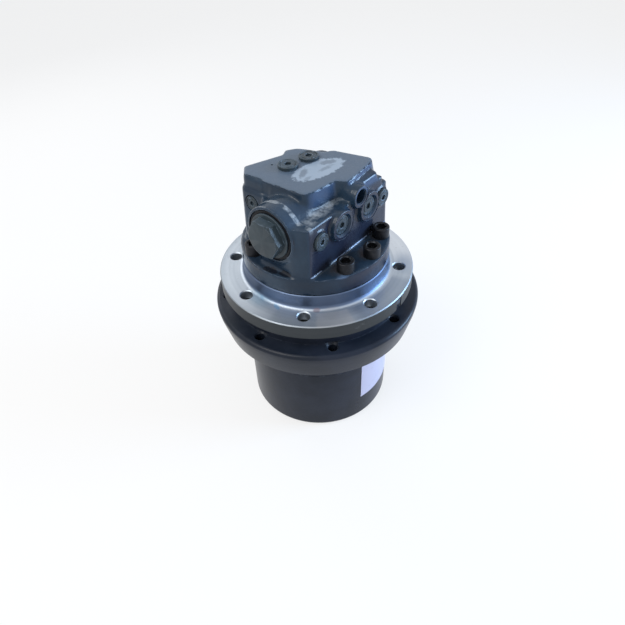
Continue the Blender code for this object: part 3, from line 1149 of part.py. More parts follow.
def make_spool_end_plug():
    """Low plug with a hexagon socket that closes the right end of the counterbalance bore."""
    seat_x = BODY_RIGHT_X + GAP
    piece = hex_socket_screw("spool_end_plug", END_PLUG_HEAD_R, END_PLUG_T, END_PLUG_R, END_PLUG_L,
                             END_PLUG_SOCKET_AF, END_PLUG_SOCKET_DEPTH, SCREW_CHAMFER, "plug_paint")
    depth = SPOOL_LENGTH / 2 + CAP_BORE_L - seat_x + END_PLUG_L
    cut(piece, rod("room", END_PLUG_BORE_R, -END_PLUG_L - OVERRUN, depth + OVERRUN))
    return aim(piece, (seat_x, SPOOL_Y, SPOOL_Z), (1, 0, 0))


def make_spool():
    """Counterbalance spool with its oil grooves and a spring stub at each end."""
    half = SPOOL_LENGTH / 2
    outline = [(0, -half - SPOOL_STUB_L), (SPOOL_STUB_R, -half - SPOOL_STUB_L), (SPOOL_STUB_R, -half),
               (SPOOL_R - GAP, -half)]
    for centre in SPOOL_GROOVES:
        low = centre - SPOOL_GROOVE_W / 2
        high = centre + SPOOL_GROOVE_W / 2
        outline += [(SPOOL_R - GAP, low), (SPOOL_GROOVE_R, low), (SPOOL_GROOVE_R, high),
                    (SPOOL_R - GAP, high)]
    outline += [(SPOOL_R - GAP, half), (SPOOL_STUB_R, half), (SPOOL_STUB_R, half + SPOOL_STUB_L),
                (0, half + SPOOL_STUB_L)]
    piece = turned("counterbalance_spool", outline, "ground_steel", SMALL, closed=False)
    piece.data.transform(Matrix.Rotation(math.pi / 2, 4, "Y"))
    piece.location = (0, SPOOL_Y, SPOOL_Z)
    return piece


def make_spool_spring(name, side):
    """Coil spring between the spool and its cap."""
    start = SPOOL_LENGTH / 2 + SPRING_WIRE_R + GAP
    end = SPRING_END_X
    count = SPRING_TURNS * SPRING_STEPS
    curve = bpy.data.curves.new(name, "CURVE")
    curve.dimensions = "3D"
    curve.bevel_depth = SPRING_WIRE_R
    curve.bevel_resolution = 0
    curve.use_fill_caps = True
    line = curve.splines.new("POLY")
    line.points.add(count)
    for k, point in enumerate(line.points):
        angle = TAU * k / SPRING_STEPS
        x = side * (start + (end - start) * k / count)
        point.co = (x, SPRING_R * math.cos(angle), SPRING_R * math.sin(angle), 1)
    coil = bpy.data.objects.new(name, curve)
    bpy.context.scene.collection.objects.link(coil)
    curve.materials.append(finish("spring_steel"))
    coil.location = (0, SPOOL_Y, SPOOL_Z)
    return coil


def make_shaft_seal():
    """Oil seal under the front bearing."""
    return ring("shaft_seal", SHAFT_LOW_R + GAP, SHAFT_SEAL_R - GAP, SHAFT_SEAL_Z + GAP,
                SHAFT_SEAL_H - 2 * GAP, "rubber", INNER)


def make_needle_bearing():
    """Needle bearing shell in the valve block that carries the shaft's tail."""
    inner = SHAFT_TAIL_R + GAP
    return ring("shaft_needle_bearing", inner, inner + NEEDLE_T + GAP, BASE_Z + GAP, NEEDLE_H,
                "ground_steel", INNER)


def carry(name, pieces, place=(0, 0, 0)):
    """Empty on a joint's axis that carries the pieces that move with it."""
    axis = bpy.data.objects.new(name, None)
    axis.location = place
    bpy.context.scene.collection.objects.link(axis)
    for piece in pieces:
        piece.parent = axis
        piece.matrix_parent_inverse = Matrix.Translation(place).inverted()
    return axis


def main():
    """Build every piece and group the pieces that move together."""
    upper = make_bearing("upper", UPPER_BEARING_Z)
    lower = make_bearing("lower", LOWER_BEARING_Z)
    fixed_seal = make_seal_half("seal_ring_fixed", "seal_cord_fixed", 1)
    hub_seal = make_seal_half("seal_ring_turning", "seal_cord_turning", -1)
    cup, cone = make_front_bearing()
    disc, brake_piston, brake_spring = make_brake()
    fixed = [make_spindle(), make_valve_block(), make_stage_2_retainer(), upper[0], lower[0],
             make_bearing_nut(), *fixed_seal, cup, make_shaft_seal(), make_needle_bearing(),
             make_swash_plate(), make_valve_plate(), brake_spring, *make_block_screws(), *make_plugs(),
             make_spool_cap(), make_spool_end_plug(),
             make_spool_spring("spool_spring_left", -1), make_spool_spring("spool_spring_right", 1)]
    carry("frame_side", fixed)
    carry("hub_axis", [make_hub(), make_ring_gear(), make_end_cover(), make_snap_ring(), *make_cover_plugs(),
                       upper[1], lower[1], *hub_seal])
    carry("drive_axis", [make_motor_shaft(), cone, make_cylinder_block(), make_piston_set(), disc,
                         make_sun_1()])
    carrier = carry("carrier_axis", [make_carrier(), make_sun_2(),
                                     *make_planets(1, PLANET_1_TEETH, STAGE_1_Z + GAP, STAGE_1_H, PITCH_1_R)])
    carrier.empty_display_size = CARRIER_R
    carry("stage_2_axis", make_planets(2, PLANET_2_TEETH, STAGE_2_Z, STAGE_2_H - GAP, PITCH_2_R))
    carry("upper_cage_axis", [upper[2]])
    carry("lower_cage_axis", [lower[2]])
    carry("brake_slide", [brake_piston])
    carry("spool_slide", [make_spool()], (0, SPOOL_Y, SPOOL_Z))


main()
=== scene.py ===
"""Looks of the excavator final drive: fine castings, screws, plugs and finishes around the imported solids.

Metres, +Z up. Z is the hub's axis and z = 0 the plane that the drive stands on. The ports look along
-Y, and the hexagon cap of the counterbalance bore along -X.
"""
from __future__ import annotations

import json
import logging
import math
from collections.abc import Iterator, Sequence
from contextlib import contextmanager
from dataclasses import dataclass
from enum import Enum

import bmesh
import bpy
from mathutils import Matrix, Vector


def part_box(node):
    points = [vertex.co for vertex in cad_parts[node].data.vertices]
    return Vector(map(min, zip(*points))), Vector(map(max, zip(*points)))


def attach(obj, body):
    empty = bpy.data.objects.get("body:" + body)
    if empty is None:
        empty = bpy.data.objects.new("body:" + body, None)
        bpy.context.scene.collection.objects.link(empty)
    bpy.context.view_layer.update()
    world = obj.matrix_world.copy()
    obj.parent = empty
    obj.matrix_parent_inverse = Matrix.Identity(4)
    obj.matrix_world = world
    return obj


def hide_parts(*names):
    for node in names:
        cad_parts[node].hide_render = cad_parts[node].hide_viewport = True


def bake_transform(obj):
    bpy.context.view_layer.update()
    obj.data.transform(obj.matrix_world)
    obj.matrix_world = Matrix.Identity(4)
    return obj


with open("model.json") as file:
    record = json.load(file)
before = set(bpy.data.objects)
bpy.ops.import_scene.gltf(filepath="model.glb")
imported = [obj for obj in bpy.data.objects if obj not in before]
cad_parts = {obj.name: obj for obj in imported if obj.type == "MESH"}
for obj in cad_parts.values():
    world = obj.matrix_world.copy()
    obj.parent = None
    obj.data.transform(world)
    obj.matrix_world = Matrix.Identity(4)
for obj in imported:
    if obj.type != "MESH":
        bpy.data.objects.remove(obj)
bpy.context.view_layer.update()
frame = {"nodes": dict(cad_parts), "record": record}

LOG = logging.getLogger("final_drive")
Point = tuple[float, float]
Place = tuple[float, float, float]
Sides = tuple[float, float, float, float]
Colour = tuple[float, float, float]
LEFT, RIGHT = (-1, 0, 0), (1, 0, 0)
FORWARD, BACKWARD = (0, -1, 0), (0, 1, 0)
UP, DOWN = (0, 0, 1), (0, 0, -1)
GAP = 0.0003  # metres between a piece and its seat
WELD = 0.000002  # metres within which two corners are one
NEAR = 0.0001  # metres within which two heights are one


class Operation(Enum):
    """What a boolean does with its tool."""

    CUT = "DIFFERENCE"
    ADD = "UNION"
    KEEP = "INTERSECT"


class Rider(Enum):
    """The moving bodies that the new pieces ride on."""

    FRAME = "frame_side"
    HUB = "hub_side"
    BRAKE = "brake_piston"
    SPOOL = "spool"


# Shader graph


class Value:
    """A socket of a shader graph that can be used in sums and products."""

    def __init__(self, graph: Graph, socket: bpy.types.NodeSocket) -> None:
        """Wrap a socket.

        Args:
            graph: The graph that the socket's node is in.
            socket: The output socket.
        """
        self.graph = graph
        self.socket = socket

    def _math(self, operation: str, first: Operand, second: Operand) -> Value:
        """Add a Math node for two operands."""
        return self.graph.node("ShaderNodeMath", {"operation": operation}, {0: first, 1: second})

    def __add__(self, other: Operand) -> Value:
        """Sum."""
        return self._math("ADD", self, other)

    __radd__ = __add__

    def __sub__(self, other: Operand) -> Value:
        """Difference."""
        return self._math("SUBTRACT", self, other)

    def __rsub__(self, other: Operand) -> Value:
        """Difference from a number on the left."""
        return self._math("SUBTRACT", other, self)

    def __mul__(self, other: Operand) -> Value:
        """Product."""
        return self._math("MULTIPLY", self, other)

    __rmul__ = __mul__

    def step(self, low: float, high: float) -> Value:
        """Smooth step from 0 at low to 1 at high."""
        settings = {"interpolation_type": "SMOOTHSTEP", "clamp": True}
        return self.graph.node("ShaderNodeMapRange", settings, {0: self, 1: low, 2: high, 3: 0.0, 4: 1.0})

    def window(self, low: float, high: float, soft: float) -> Value:
        """1 between two values and 0 outside them, with soft ends."""
        return self.step(low - soft, low) * (1.0 - self.step(high, high + soft))

    def most(self, other: Operand) -> Value:
        """Larger of two values."""
        return self._math("MAXIMUM", self, other)


Operand = Value | float


def opaque(colour: Value | Colour) -> Value | tuple[float, ...]:
    """Colour with an alpha of 1, or the value that gives the colour."""
    return colour if isinstance(colour, Value) else (*colour, 1)


class Graph:
    """Node tree of a material, with its Principled shader, or of the world."""

    def __init__(self, holder: bpy.types.Material | bpy.types.World) -> None:
        """Open the nodes.

        Args:
            holder: The material or the world.
        """
        holder.use_nodes = True
        self.holder = holder
        self.tree = holder.node_tree
        self.shader = self.tree.nodes.get("Principled BSDF")

    def node(self, kind: str, settings: dict, inputs: dict, output: str | int = 0) -> Value:
        """Add a node.

        Args:
            kind: Type of the node.
            settings: Properties that are set first.
            inputs: Values or links by socket.
            output: The output socket that is returned.

        Returns:
            The chosen output.
        """
        made = self.tree.nodes.new(kind)
        for key, value in settings.items():
            setattr(made, key, value)
        for key, value in inputs.items():
            self.feed(made.inputs[key], value)
        return Value(self, made.outputs[output])

    def feed(self, socket: bpy.types.NodeSocket, value: object) -> None:
        """Link a value to a socket, or set the socket's own value.

        Args:
            socket: The input socket.
            value: A value of this graph, a number, a vector or a colour.
        """
        if isinstance(value, Value):
            self.tree.links.new(value.socket, socket)
        else:
            socket.default_value = value

    def vector(self, operation: str, *inputs: Value | Place, output: str | int = 0) -> Value:
        """Vector Math node."""
        return self.node("ShaderNodeVectorMath", {"operation": operation}, dict(enumerate(inputs)), output)

    def place(self) -> Value:
        """Position on the object, in metres."""
        return self.node("ShaderNodeTexCoord", {}, {}, "Object")

    def normal(self) -> Value:
        """Normal of the surface."""
        return self.node("ShaderNodeNewGeometry", {}, {}, "Normal")

    def ray(self, name: str) -> Value:
        """One output of the light path."""
        return self.node("ShaderNodeLightPath", {}, {}, name)

    def axis(self, vector: Value, name: str) -> Value:
        """One coordinate of a vector."""
        return self.node("ShaderNodeSeparateXYZ", {}, {0: vector}, name)

    def facing(self, name: str) -> Value:
        """One coordinate of the surface's normal."""
        return self.axis(self.normal(), name)

    def noise(self, scale: float, detail: float = 4.0, rough: float = 0.55, at: Value | None = None) -> Value:
        """Noise with features of about 1 / scale metres."""
        inputs = {"Vector": at or self.place(), "Scale": scale, "Detail": detail, "Roughness": rough}
        return self.node("ShaderNodeTexNoise", {}, inputs, "Fac")

    def mix(self, share: Operand, first: Value | Colour, second: Value | Colour) -> Value:
        """Blend of two colours."""
        return self.node("ShaderNodeMix", {"data_type": "RGBA"}, {0: share, 6: opaque(first), 7: opaque(second)}, 2)

    def spot(self, mark: Mark) -> Value:
        """Mask of a mark, whose edge is made uneven by noise.

        Args:
            mark: The mark.

        Returns:
            1 inside the mark and 0 outside it.
        """
        turned = {"Vector": self.place(), "Location": mark.centre, "Rotation": (0, 0, math.radians(mark.turn)),
                  "Scale": mark.reach}
        local = self.node("ShaderNodeMapping", {"vector_type": "TEXTURE"}, turned)
        uneven = (self.noise(mark.scale, 6.0, 0.65) - 0.5) * mark.wobble
        return 1.0 - (self.vector("LENGTH", local, output="Value") + uneven).step(1.0 - mark.soft, 1.0)

    def across(self, centre: Place, keep: Place) -> Value:
        """Distance from a line through a centre, given the two axes that are kept."""
        flat = self.vector("MULTIPLY", self.vector("SUBTRACT", self.place(), centre), keep)
        return self.vector("LENGTH", flat, output="Value")

    def edges(self, width: float) -> Value:
        """1 on sharp edges and 0 on flat faces."""
        soft = self.node("ShaderNodeBevel", {"samples": 4}, {"Radius": width})
        return (1.0 - self.vector("DOT_PRODUCT", soft, self.normal(), output="Value")).step(0.01, 0.12)

    def bump(self, height: Value, distance: float, strength: float = 1.0) -> None:
        """Feed the shader's normal from a height."""
        inputs = {"Height": height, "Distance": distance, "Strength": strength}
        self.feed(self.shader.inputs["Normal"], self.node("ShaderNodeBump", {}, inputs, "Normal"))

    def finish(self, colour: Value | Colour, roughness: Operand, metallic: Operand = 0.0) -> bpy.types.Material:
        """Feed the Principled shader.

        Args:
            colour: Its base colour.
            roughness: Its roughness.
            metallic: Its share of bare metal.

        Returns:
            The material.
        """
        inputs = {"Base Color": opaque(colour), "Roughness": roughness, "Metallic": metallic}
        for name, value in inputs.items():
            self.feed(self.shader.inputs[name], value)
        return self.holder

    def show(self, share: Operand, first: Value, second: Value) -> None:
        """Show a blend of two shaders.

        Args:
            share: Share of the second shader.
            first: The first shader.
            second: The second shader.
        """
        mixed = self.node("ShaderNodeMixShader", {}, {0: share, 1: first, 2: second})
        output = next(node for node in self.tree.nodes if node.bl_idname.startswith("ShaderNodeOutput"))
        self.feed(output.inputs["Surface"], mixed)


# Finishes


@dataclass(frozen=True)
class Mark:
    """Uneven patch of another colour: smears, stains and rubbed places, and also painted shadows and painted sheens."""

    centre: Place
    reach: Place
    colour: Colour
    share: float = 0.6
    turn: float = 0.0
    wobble: float = 0.6
    scale: float = 130.0
    soft: float = 0.35


@dataclass(frozen=True)
class Sheen:
    """Sector of the flange's face, in degrees, that mirrors something lighter or darker."""

    start: float
    end: float
    soft: float
    share: float
    colour: Colour


@dataclass(frozen=True)
class Finish:
    """Named finish of a material slot, whose material is made once."""

    name: str
    slot: str

    def material(self) -> bpy.types.Material:
        """Material of this finish."""
        if self.name not in MADE:
            MADE[self.name] = self.paint(Graph(bpy.data.materials.new(self.name)))
        return MADE[self.name]

    def paint(self, graph: Graph) -> bpy.types.Material:
        """Build the nodes of the material.

        Args:
            graph: The new material's graph.

        Returns:
            The material.
        """
        raise NotImplementedError


@dataclass(frozen=True)
class CastPaint(Finish):
    """Gloss paint over a sand casting: cast grain, thin worn edges, dust on what faces up."""

    colour: Colour
    dark: Colour
    worn: Colour
    dust: Colour
    roughness: float = 0.30
    gloss: float = 0.40
    grain: float = 0.00022
    wear: float = 0.55
    dust_share: float = 0.35

    def paint(self, graph: Graph) -> bpy.types.Material:
        """Build the nodes of the paint.

        Args:
            graph: The new material's graph.

        Returns:
            The material.
        """
        broad = graph.noise(22.0, 5.0)
        tone = graph.mix(broad.step(0.35, 0.68), self.dark, self.colour)
        worn = graph.edges(0.0010) * graph.noise(170.0, 6.0).step(0.40, 0.60) * self.wear
        tone = graph.mix(worn, tone, self.worn)
        up = graph.facing("Z").step(0.55, 0.95)
        dusty = up * graph.noise(60.0, 8.0, 0.7).step(0.30, 0.72) * self.dust_share
        tone = graph.mix(dusty, tone, self.dust)
        tone, added = self.marks(graph, tone)
        rough = self.roughness + (broad - 0.5) * 0.14 + dusty * 0.35 + worn * 0.15 + added * 0.30
        relief = graph.noise(240.0, 4.0) * 0.7 + graph.noise(700.0, 3.0) * 0.3 + added * graph.noise(420.0, 6.0, 0.8)
        graph.bump(relief, self.grain)
        graph.shader.inputs["Specular IOR Level"].default_value = self.gloss
        return graph.finish(tone, rough)

    def marks(self, graph: Graph, tone: Value) -> tuple[Value, Operand]:
        """Colour with the marks of one casting, and how rough they are."""
        return tone, 0.0


@dataclass(frozen=True)
class BlockPaint(CastPaint):
    """Paint of the valve block: dusty top with a pale patch, a silvery worn shoulder, rust round the screws, painted
    shade and a painted blue highlight on the front faces, a painted highlight ring on the cap boss, a painted highlight
    on the ledge's front fillet and painted shadow under the hexagon cap.
    """

    silver: Colour = (0.36, 0.40, 0.44)
    pale: Colour = (0.30, 0.38, 0.55)
    top: Colour = (0.098, 0.136, 0.190)
    shade: Colour = (0.018, 0.017, 0.029)
    glint: Colour = (0.060, 0.100, 0.190)
    cap: Place = (-0.070, -0.0045, 0.267)
    patches: tuple[Mark, ...] = ()
    shade_z: Point = (0.2800, 0.2880)
    glint_z: Point = (0.2840, 0.2900)
    shoulder_z: Point = (0.2775, 0.2868)
    shoulder_left: Point = (-0.058, -0.048)
    shoulder_right: Point = (0.004, 0.016)
    shoulder_back: Point = (-0.028, -0.018)
    shoulder_front: Point = (-0.0400, -0.0340)
    ring_z: Point = (0.276, 0.286)
    ring_x: Point = (-0.0606, -0.0568)
    ring_r: Point = (0.0285, 0.0296)
    fillet_z: Point = (0.2278, 0.2325)
    top_z: Point = (0.3002, 0.3018)

    def marks(self, graph: Graph, tone: Value) -> tuple[Value, Operand]:
        """Add the marks of the block.

        Args:
            graph: The material's graph.
            tone: Colour without the marks.

        Returns:
            Colour with the marks, and how rough they are.
        """
        here = graph.place()
        side, depth, height = (graph.axis(here, name) for name in "XYZ")
        up = graph.facing("Z")
        front = (graph.facing("Y") * -1.0).step(0.80, 0.97)
        tone = graph.mix(front * (1.0 - height.step(*self.shade_z)) * 0.7, tone, self.shade)
        tone = graph.mix(front * height.step(*self.glint_z) * 0.5, tone, self.glint)
        rubbed = graph.noise(230.0, 8.0, 0.75)
        broad = graph.noise(75.0, 5.0, 0.6).step(0.40, 0.62)
        near = 1.0 - side.step(*self.shoulder_right)
        near = near * (1.0 - depth.step(*self.shoulder_back)) * side.step(*self.shoulder_left)
        shoulder = height.window(*self.shoulder_z, 0.002) * up.step(0.20, 0.40) * near * broad
        shoulder = shoulder * (depth + side * -0.10).step(*self.shoulder_front)
        # Painted highlight ring on the cap boss. It shares the silver colour and the rubbed noise with the worn
        # shoulder, and the two masks are joined into one.
        ring = graph.across(self.cap, (0, 1, 1)).step(*self.ring_r) * height.step(*self.ring_z)
        ring = ring * side.window(*self.ring_x, 0.0012) * broad.step(0.0, 0.6)
        worn_shoulder_and_highlight_ring = shoulder.most(ring) * (0.45 + rubbed.step(0.38, 0.62) * 0.55)
        tone = graph.mix(worn_shoulder_and_highlight_ring * 0.85, tone, self.silver)
        # Painted highlight on the fillet at the foot of the port face, in the pale colour.
        fillet = height.window(*self.fillet_z, 0.0012) * front.step(0.0, 0.2) * (1.0 - up.step(0.9, 0.97))
        tone = graph.mix(fillet * broad.step(0.1, 0.5) * up.step(0.10, 0.35) * 0.8, tone, self.pale)
        top = height.step(*self.top_z) * up.step(0.85, 0.97)
        tone = graph.mix(top * (0.75 + rubbed * 0.3), tone, self.top)
        for patch in self.patches:
            tone = graph.mix(graph.spot(patch) * patch.share, tone, patch.colour)
        return tone, worn_shoulder_and_highlight_ring + top * 0.5


@dataclass(frozen=True)
class TurnedSteel(Finish):
    """Bare steel from the lathe: fine rings on its faces, a painted dark reflection on the flange's outer side wall,
    painted reflections in sectors of its face, stains and smears of paint.
    """

    colour: Colour
    rim: Colour
    stain: Colour
    edge: Colour
    collar: Colour
    smears: tuple[Mark, ...] = ()
    sheens: tuple[Sheen, ...] = ()
    face_r: Point = (0.0865, 0.0885)
    painted_dark_wall_r: Point = (0.1060, 0.1076)
    collar_r: Point = (0.0850, 0.0870)
    collar_z: Point = (0.1912, 0.1930)

    def paint(self, graph: Graph) -> bpy.types.Material:
        """Build the nodes of the turned steel.

        Args:
            graph: The new material's graph.

        Returns:
            The material.
        """
        here = graph.place()
        side, depth, height = (graph.axis(here, name) for name in "XYZ")
        radius = graph.across((0, 0, 0), (1, 1, 0))
        up = graph.facing("Z")
        level = (up * up).step(0.2, 0.8)
        along = graph.node("ShaderNodeCombineXYZ", {}, {0: radius + height})
        rings = graph.noise(2600.0, 2.0, 0.6, along)
        bands = graph.noise(160.0, 3.0, 0.6, along)
        cloud = graph.noise(30.0, 6.0, 0.62)
        tone = graph.mix(bands.step(0.3, 0.7) * 0.35 + cloud * 0.35, self.colour, self.rim)
        bearing = graph.node("ShaderNodeMath", {"operation": "ARCTAN2"}, {0: depth, 1: side})
        face = level * radius.step(*self.face_r)
        for sheen in self.sheens:
            limits = (math.radians(angle) for angle in (sheen.start, sheen.end, sheen.soft))
            tone = graph.mix(bearing.window(*limits) * face * sheen.share, tone, sheen.colour)
        # Painted dark reflection on the flange's outer side wall, in the edge colour.
        outer = radius.step(*self.painted_dark_wall_r) * (1.0 - level)
        collar = (1.0 - radius.step(*self.collar_r)) * height.step(*self.collar_z)
        tone = graph.mix(outer * 0.95, tone, self.edge)
        tone = graph.mix(collar * 0.93, tone, self.collar)
        stains = graph.noise(75.0, 7.0, 0.7).step(0.60, 0.74) * 0.45
        tone = graph.mix(stains, tone, self.stain)
        painted = 0.0
        for smear in self.smears:
            where = graph.spot(smear) * smear.share
            tone = graph.mix(where, tone, smear.colour)
            painted = where + painted
        graph.bump(rings, 0.00004, 0.8)
        rough = 0.34 + cloud * 0.14 + rings * 0.10 + stains * 0.2
        return graph.finish(tone, rough, (1.0 - stains * 0.5 - painted * 0.6).step(0.0, 1.0))


@dataclass(frozen=True)
class BlackOxide(Finish):
    """Blackened screw steel with bright rubbed edges and spots of rust."""

    colour: Colour
    bright: Colour
    rust: Colour
    rust_share: float = 0.5

    def paint(self, graph: Graph) -> bpy.types.Material:
        """Build the nodes of the blackened steel.

        Args:
            graph: The new material's graph.

        Returns:
            The material.
        """
        mottled = graph.noise(420.0, 5.0)
        rusty = graph.noise(150.0, 8.0, 0.75).step(0.48, 0.66) * self.rust_share
        rubbed = graph.edges(0.0006) * mottled.step(0.4, 0.6) * 0.6
        tone = graph.mix(rubbed, self.colour, self.bright)
        tone = graph.mix(rusty, tone, self.rust)
        graph.bump(mottled, 0.00006)
        return graph.finish(tone, 0.42 + rusty * 0.35 + (mottled - 0.5) * 0.2, 0.7 - rusty * 0.6)


@dataclass(frozen=True)
class PlainMetal(Finish):
    """Machined metal of an inner piece, with faint tool marks and oil film."""

    colour: Colour
    second: Colour
    roughness: float
    metallic: float = 1.0
    scale: float = 900.0

    def paint(self, graph: Graph) -> bpy.types.Material:
        """Build the nodes of the machined metal.

        Args:
            graph: The new material's graph.

        Returns:
            The material.
        """
        marks = graph.noise(self.scale, 4.0)
        film = graph.noise(45.0, 5.0)
        tone = graph.mix(film.step(0.3, 0.7), self.colour, self.second)
        graph.bump(marks, 0.00003, 0.6)
        return graph.finish(tone, self.roughness + (film - 0.5) * 0.18 + marks * 0.05, self.metallic)


@dataclass(frozen=True)
class LabelFilm(Finish):
    """White bare label film with soiled edges."""

    colour: Colour
    soil: Colour

    def paint(self, graph: Graph) -> bpy.types.Material:
        """Build the nodes of the film.

        Args:
            graph: The new material's graph.

        Returns:
            The material.
        """
        soiled = graph.noise(110.0, 7.0, 0.7).step(0.50, 0.78) * 0.35
        tone = graph.mix(soiled, self.colour, self.soil)
        graph.bump(graph.noise(320.0, 3.0), 0.00008)
        return graph.finish(tone, 0.45 + soiled * 0.3)


MADE: dict[str, bpy.types.Material] = {}
PALE = (0.36, 0.44, 0.54)
GREY = (0.130, 0.165, 0.215)
RUST = (0.062, 0.048, 0.042)
SHADOW_UNDER_CAP = (0.006, 0.008, 0.014)
SHEEN = (0.13, 0.20, 0.33)
BLOCK_PATCHES = (
    Mark((0.0065, -0.0025, 0.303), (0.0325, 0.0165, 0.004), PALE, 0.78, -9.0, 0.75, 170.0, 0.12),
    Mark((0.0235, -0.0010, 0.303), (0.0120, 0.0050, 0.004), GREY, 0.75, -32.0, 1.6, 210.0, 0.5),
    Mark((0.0120, -0.0070, 0.303), (0.0130, 0.0035, 0.004), GREY, 0.55, -5.0, 1.6, 260.0, 0.6),
    Mark((-0.0090, 0.0045, 0.303), (0.0120, 0.0045, 0.004), GREY, 0.75, 24.0, 1.6, 210.0, 0.5),
    Mark((-0.0150, -0.0055, 0.303), (0.0070, 0.0030, 0.004), GREY, 0.50, 0.0, 1.6, 260.0, 0.6),
    Mark((0.0500, -0.0560, 0.227), (0.0240, 0.0100, 0.003), SHEEN, 0.45, -48.0, 0.6, 90.0, 0.8),
    Mark((-0.0360, -0.0660, 0.227), (0.0160, 0.0080, 0.003), SHEEN, 0.50, 30.0, 0.6, 90.0, 0.8),
    # Painted shadow on the ledge under the hexagon cap.
    Mark((-0.0755, -0.0040, 0.2275), (0.0045, 0.0100, 0.005), SHADOW_UNDER_CAP, 0.9, 4.0, 0.9, 160.0, 0.3),
    Mark((-0.0720, -0.0215, 0.2275), (0.0040, 0.0090, 0.005), SHADOW_UNDER_CAP, 0.9, 14.0, 0.9, 160.0, 0.3),
    Mark((-0.0298, -0.0600, 0.229), (0.0190, 0.0130, 0.006), RUST, 0.55, -25.0, 0.9, 120.0, 0.5),
    Mark((0.0100, -0.0640, 0.229), (0.0200, 0.0140, 0.006), RUST, 0.65, 5.0, 0.9, 120.0, 0.5),
    Mark((0.0404, -0.0540, 0.229), (0.0170, 0.0130, 0.006), RUST, 0.50, 35.0, 0.9, 120.0, 0.5),
)
SMEAR_BLUE = (0.12, 0.30, 0.50)
FLANGE_SMEARS = (
    Mark((-0.0838, 0.0046, 0.191), (0.0050, 0.0022, 0.003), SMEAR_BLUE, 0.55, 60.0, 0.9, 260.0, 0.5),
    Mark((-0.0845, -0.0174, 0.191), (0.0065, 0.0028, 0.003), SMEAR_BLUE, 0.65, 75.0, 0.9, 260.0, 0.5),
    Mark((-0.0636, -0.0530, 0.191), (0.0040, 0.0050, 0.003), (0.16, 0.12, 0.15), 0.7, 40.0, 0.5, 200.0, 0.4),
    Mark((-0.0550, -0.0640, 0.191), (0.0180, 0.0120, 0.003), (0.30, 0.30, 0.32), 0.35, 40.0, 0.8, 60.0, 0.6),
    Mark((-0.0850, 0.0060, 0.191), (0.0240, 0.0160, 0.004), (0.17, 0.31, 0.44), 0.55, 80.0, 0.4, 40.0, 0.9),
    Mark((0.0560, -0.0800, 0.191), (0.0300, 0.0200, 0.004), (0.17, 0.23, 0.32), 0.55, 35.0, 0.4, 40.0, 0.9),
)
FLANGE_SHEENS = (
    Sheen(-139.0, -121.0, 3.0, 0.42, (0.72, 0.70, 0.69)),
    Sheen(-165.0, -149.0, 4.0, 0.30, (0.22, 0.26, 0.32)),
    Sheen(-112.0, -74.0, 8.0, 0.55, (0.17, 0.22, 0.30)),
    Sheen(-56.0, -14.0, 10.0, 0.45, (0.74, 0.77, 0.82)),
)
BLOCK_PAINT = BlockPaint("block_enamel", "block_paint", (0.020, 0.042, 0.072), (0.010, 0.022, 0.042),
                         (0.22, 0.28, 0.38), (0.052, 0.080, 0.118), roughness=0.20, gloss=0.26, dust_share=0.3,
                         patches=BLOCK_PATCHES)
HUB_PAINT = CastPaint("hub_enamel", "hub_paint", (0.017, 0.022, 0.036), (0.009, 0.013, 0.022), (0.11, 0.13, 0.16),
                      (0.013, 0.020, 0.032), roughness=0.30, gloss=0.18, grain=0.00012, wear=0.5, dust_share=0.5)
PLUG_PAINT = CastPaint("plug_enamel", "plug_paint", (0.033, 0.049, 0.060), (0.018, 0.028, 0.037), (0.28, 0.36, 0.46),
                       (0.060, 0.090, 0.122), roughness=0.32, gloss=0.26, grain=0.00008, wear=0.65, dust_share=0.7)
# Near-black washer round the hexagon cap: its own black oily finish, and painted shade in the recess round the cap.
WASHER_BLACK_AND_SHADE = CastPaint("washer_black_and_shade", "plug_paint", (0.006, 0.007, 0.010), (0.003, 0.004, 0.006),
                         (0.05, 0.06, 0.07), (0.02, 0.02, 0.03), roughness=0.42, gloss=0.15, grain=0.00008, wear=0.2,
                         dust_share=0.1)
# The fourth colour is the painted dark reflection on the flange's outer side wall.
TURNED = TurnedSteel("turned_flange", "turned_steel", (0.52, 0.57, 0.63), (0.28, 0.33, 0.39), (0.18, 0.19, 0.20),
                     (0.034, 0.038, 0.041), (0.074, 0.107, 0.180), FLANGE_SMEARS, FLANGE_SHEENS)
OXIDE = BlackOxide("screw_oxide", "black_oxide", (0.013, 0.014, 0.018), (0.20, 0.23, 0.27), (0.028, 0.026, 0.028),
                   0.35)
LABEL = LabelFilm("label_film", "hub_paint", (0.47, 0.43, 0.53), (0.33, 0.32, 0.36))
GROUND = PlainMetal("ground_metal", "ground_steel", (0.56, 0.57, 0.59), (0.46, 0.47, 0.49), 0.20)
GEAR = PlainMetal("gear_metal", "gear_steel", (0.36, 0.36, 0.37), (0.25, 0.25, 0.26), 0.34)
BRONZE = PlainMetal("bronze_metal", "bronze", (0.55, 0.37, 0.17), (0.42, 0.27, 0.12), 0.34)
SPRING = PlainMetal("spring_metal", "spring_steel", (0.30, 0.30, 0.32), (0.20, 0.20, 0.21), 0.30)
RUBBER = PlainMetal("seal_rubber", "rubber", (0.022, 0.022, 0.023), (0.035, 0.034, 0.033), 0.62, 0.0, 500.0)


# Mesh operations


def linked(name: str, data: bpy.types.ID) -> bpy.types.Object:
    """Put a mesh, lamp or camera in the scene.

    Args:
        name: Name of the object.
        data: The mesh, lamp or camera.

    Returns:
        The object.
    """
    item = bpy.data.objects.new(name, data)
    bpy.context.scene.collection.objects.link(item)
    return item


@contextmanager
def opened(mesh: bpy.types.Mesh) -> Iterator[bmesh.types.BMesh]:
    """Open a mesh for bmesh operators and write it back.

    Args:
        mesh: The mesh.

    Yields:
        Its bmesh.
    """
    shape = bmesh.new()
    shape.from_mesh(mesh)
    yield shape
    shape.to_mesh(mesh)
    shape.free()


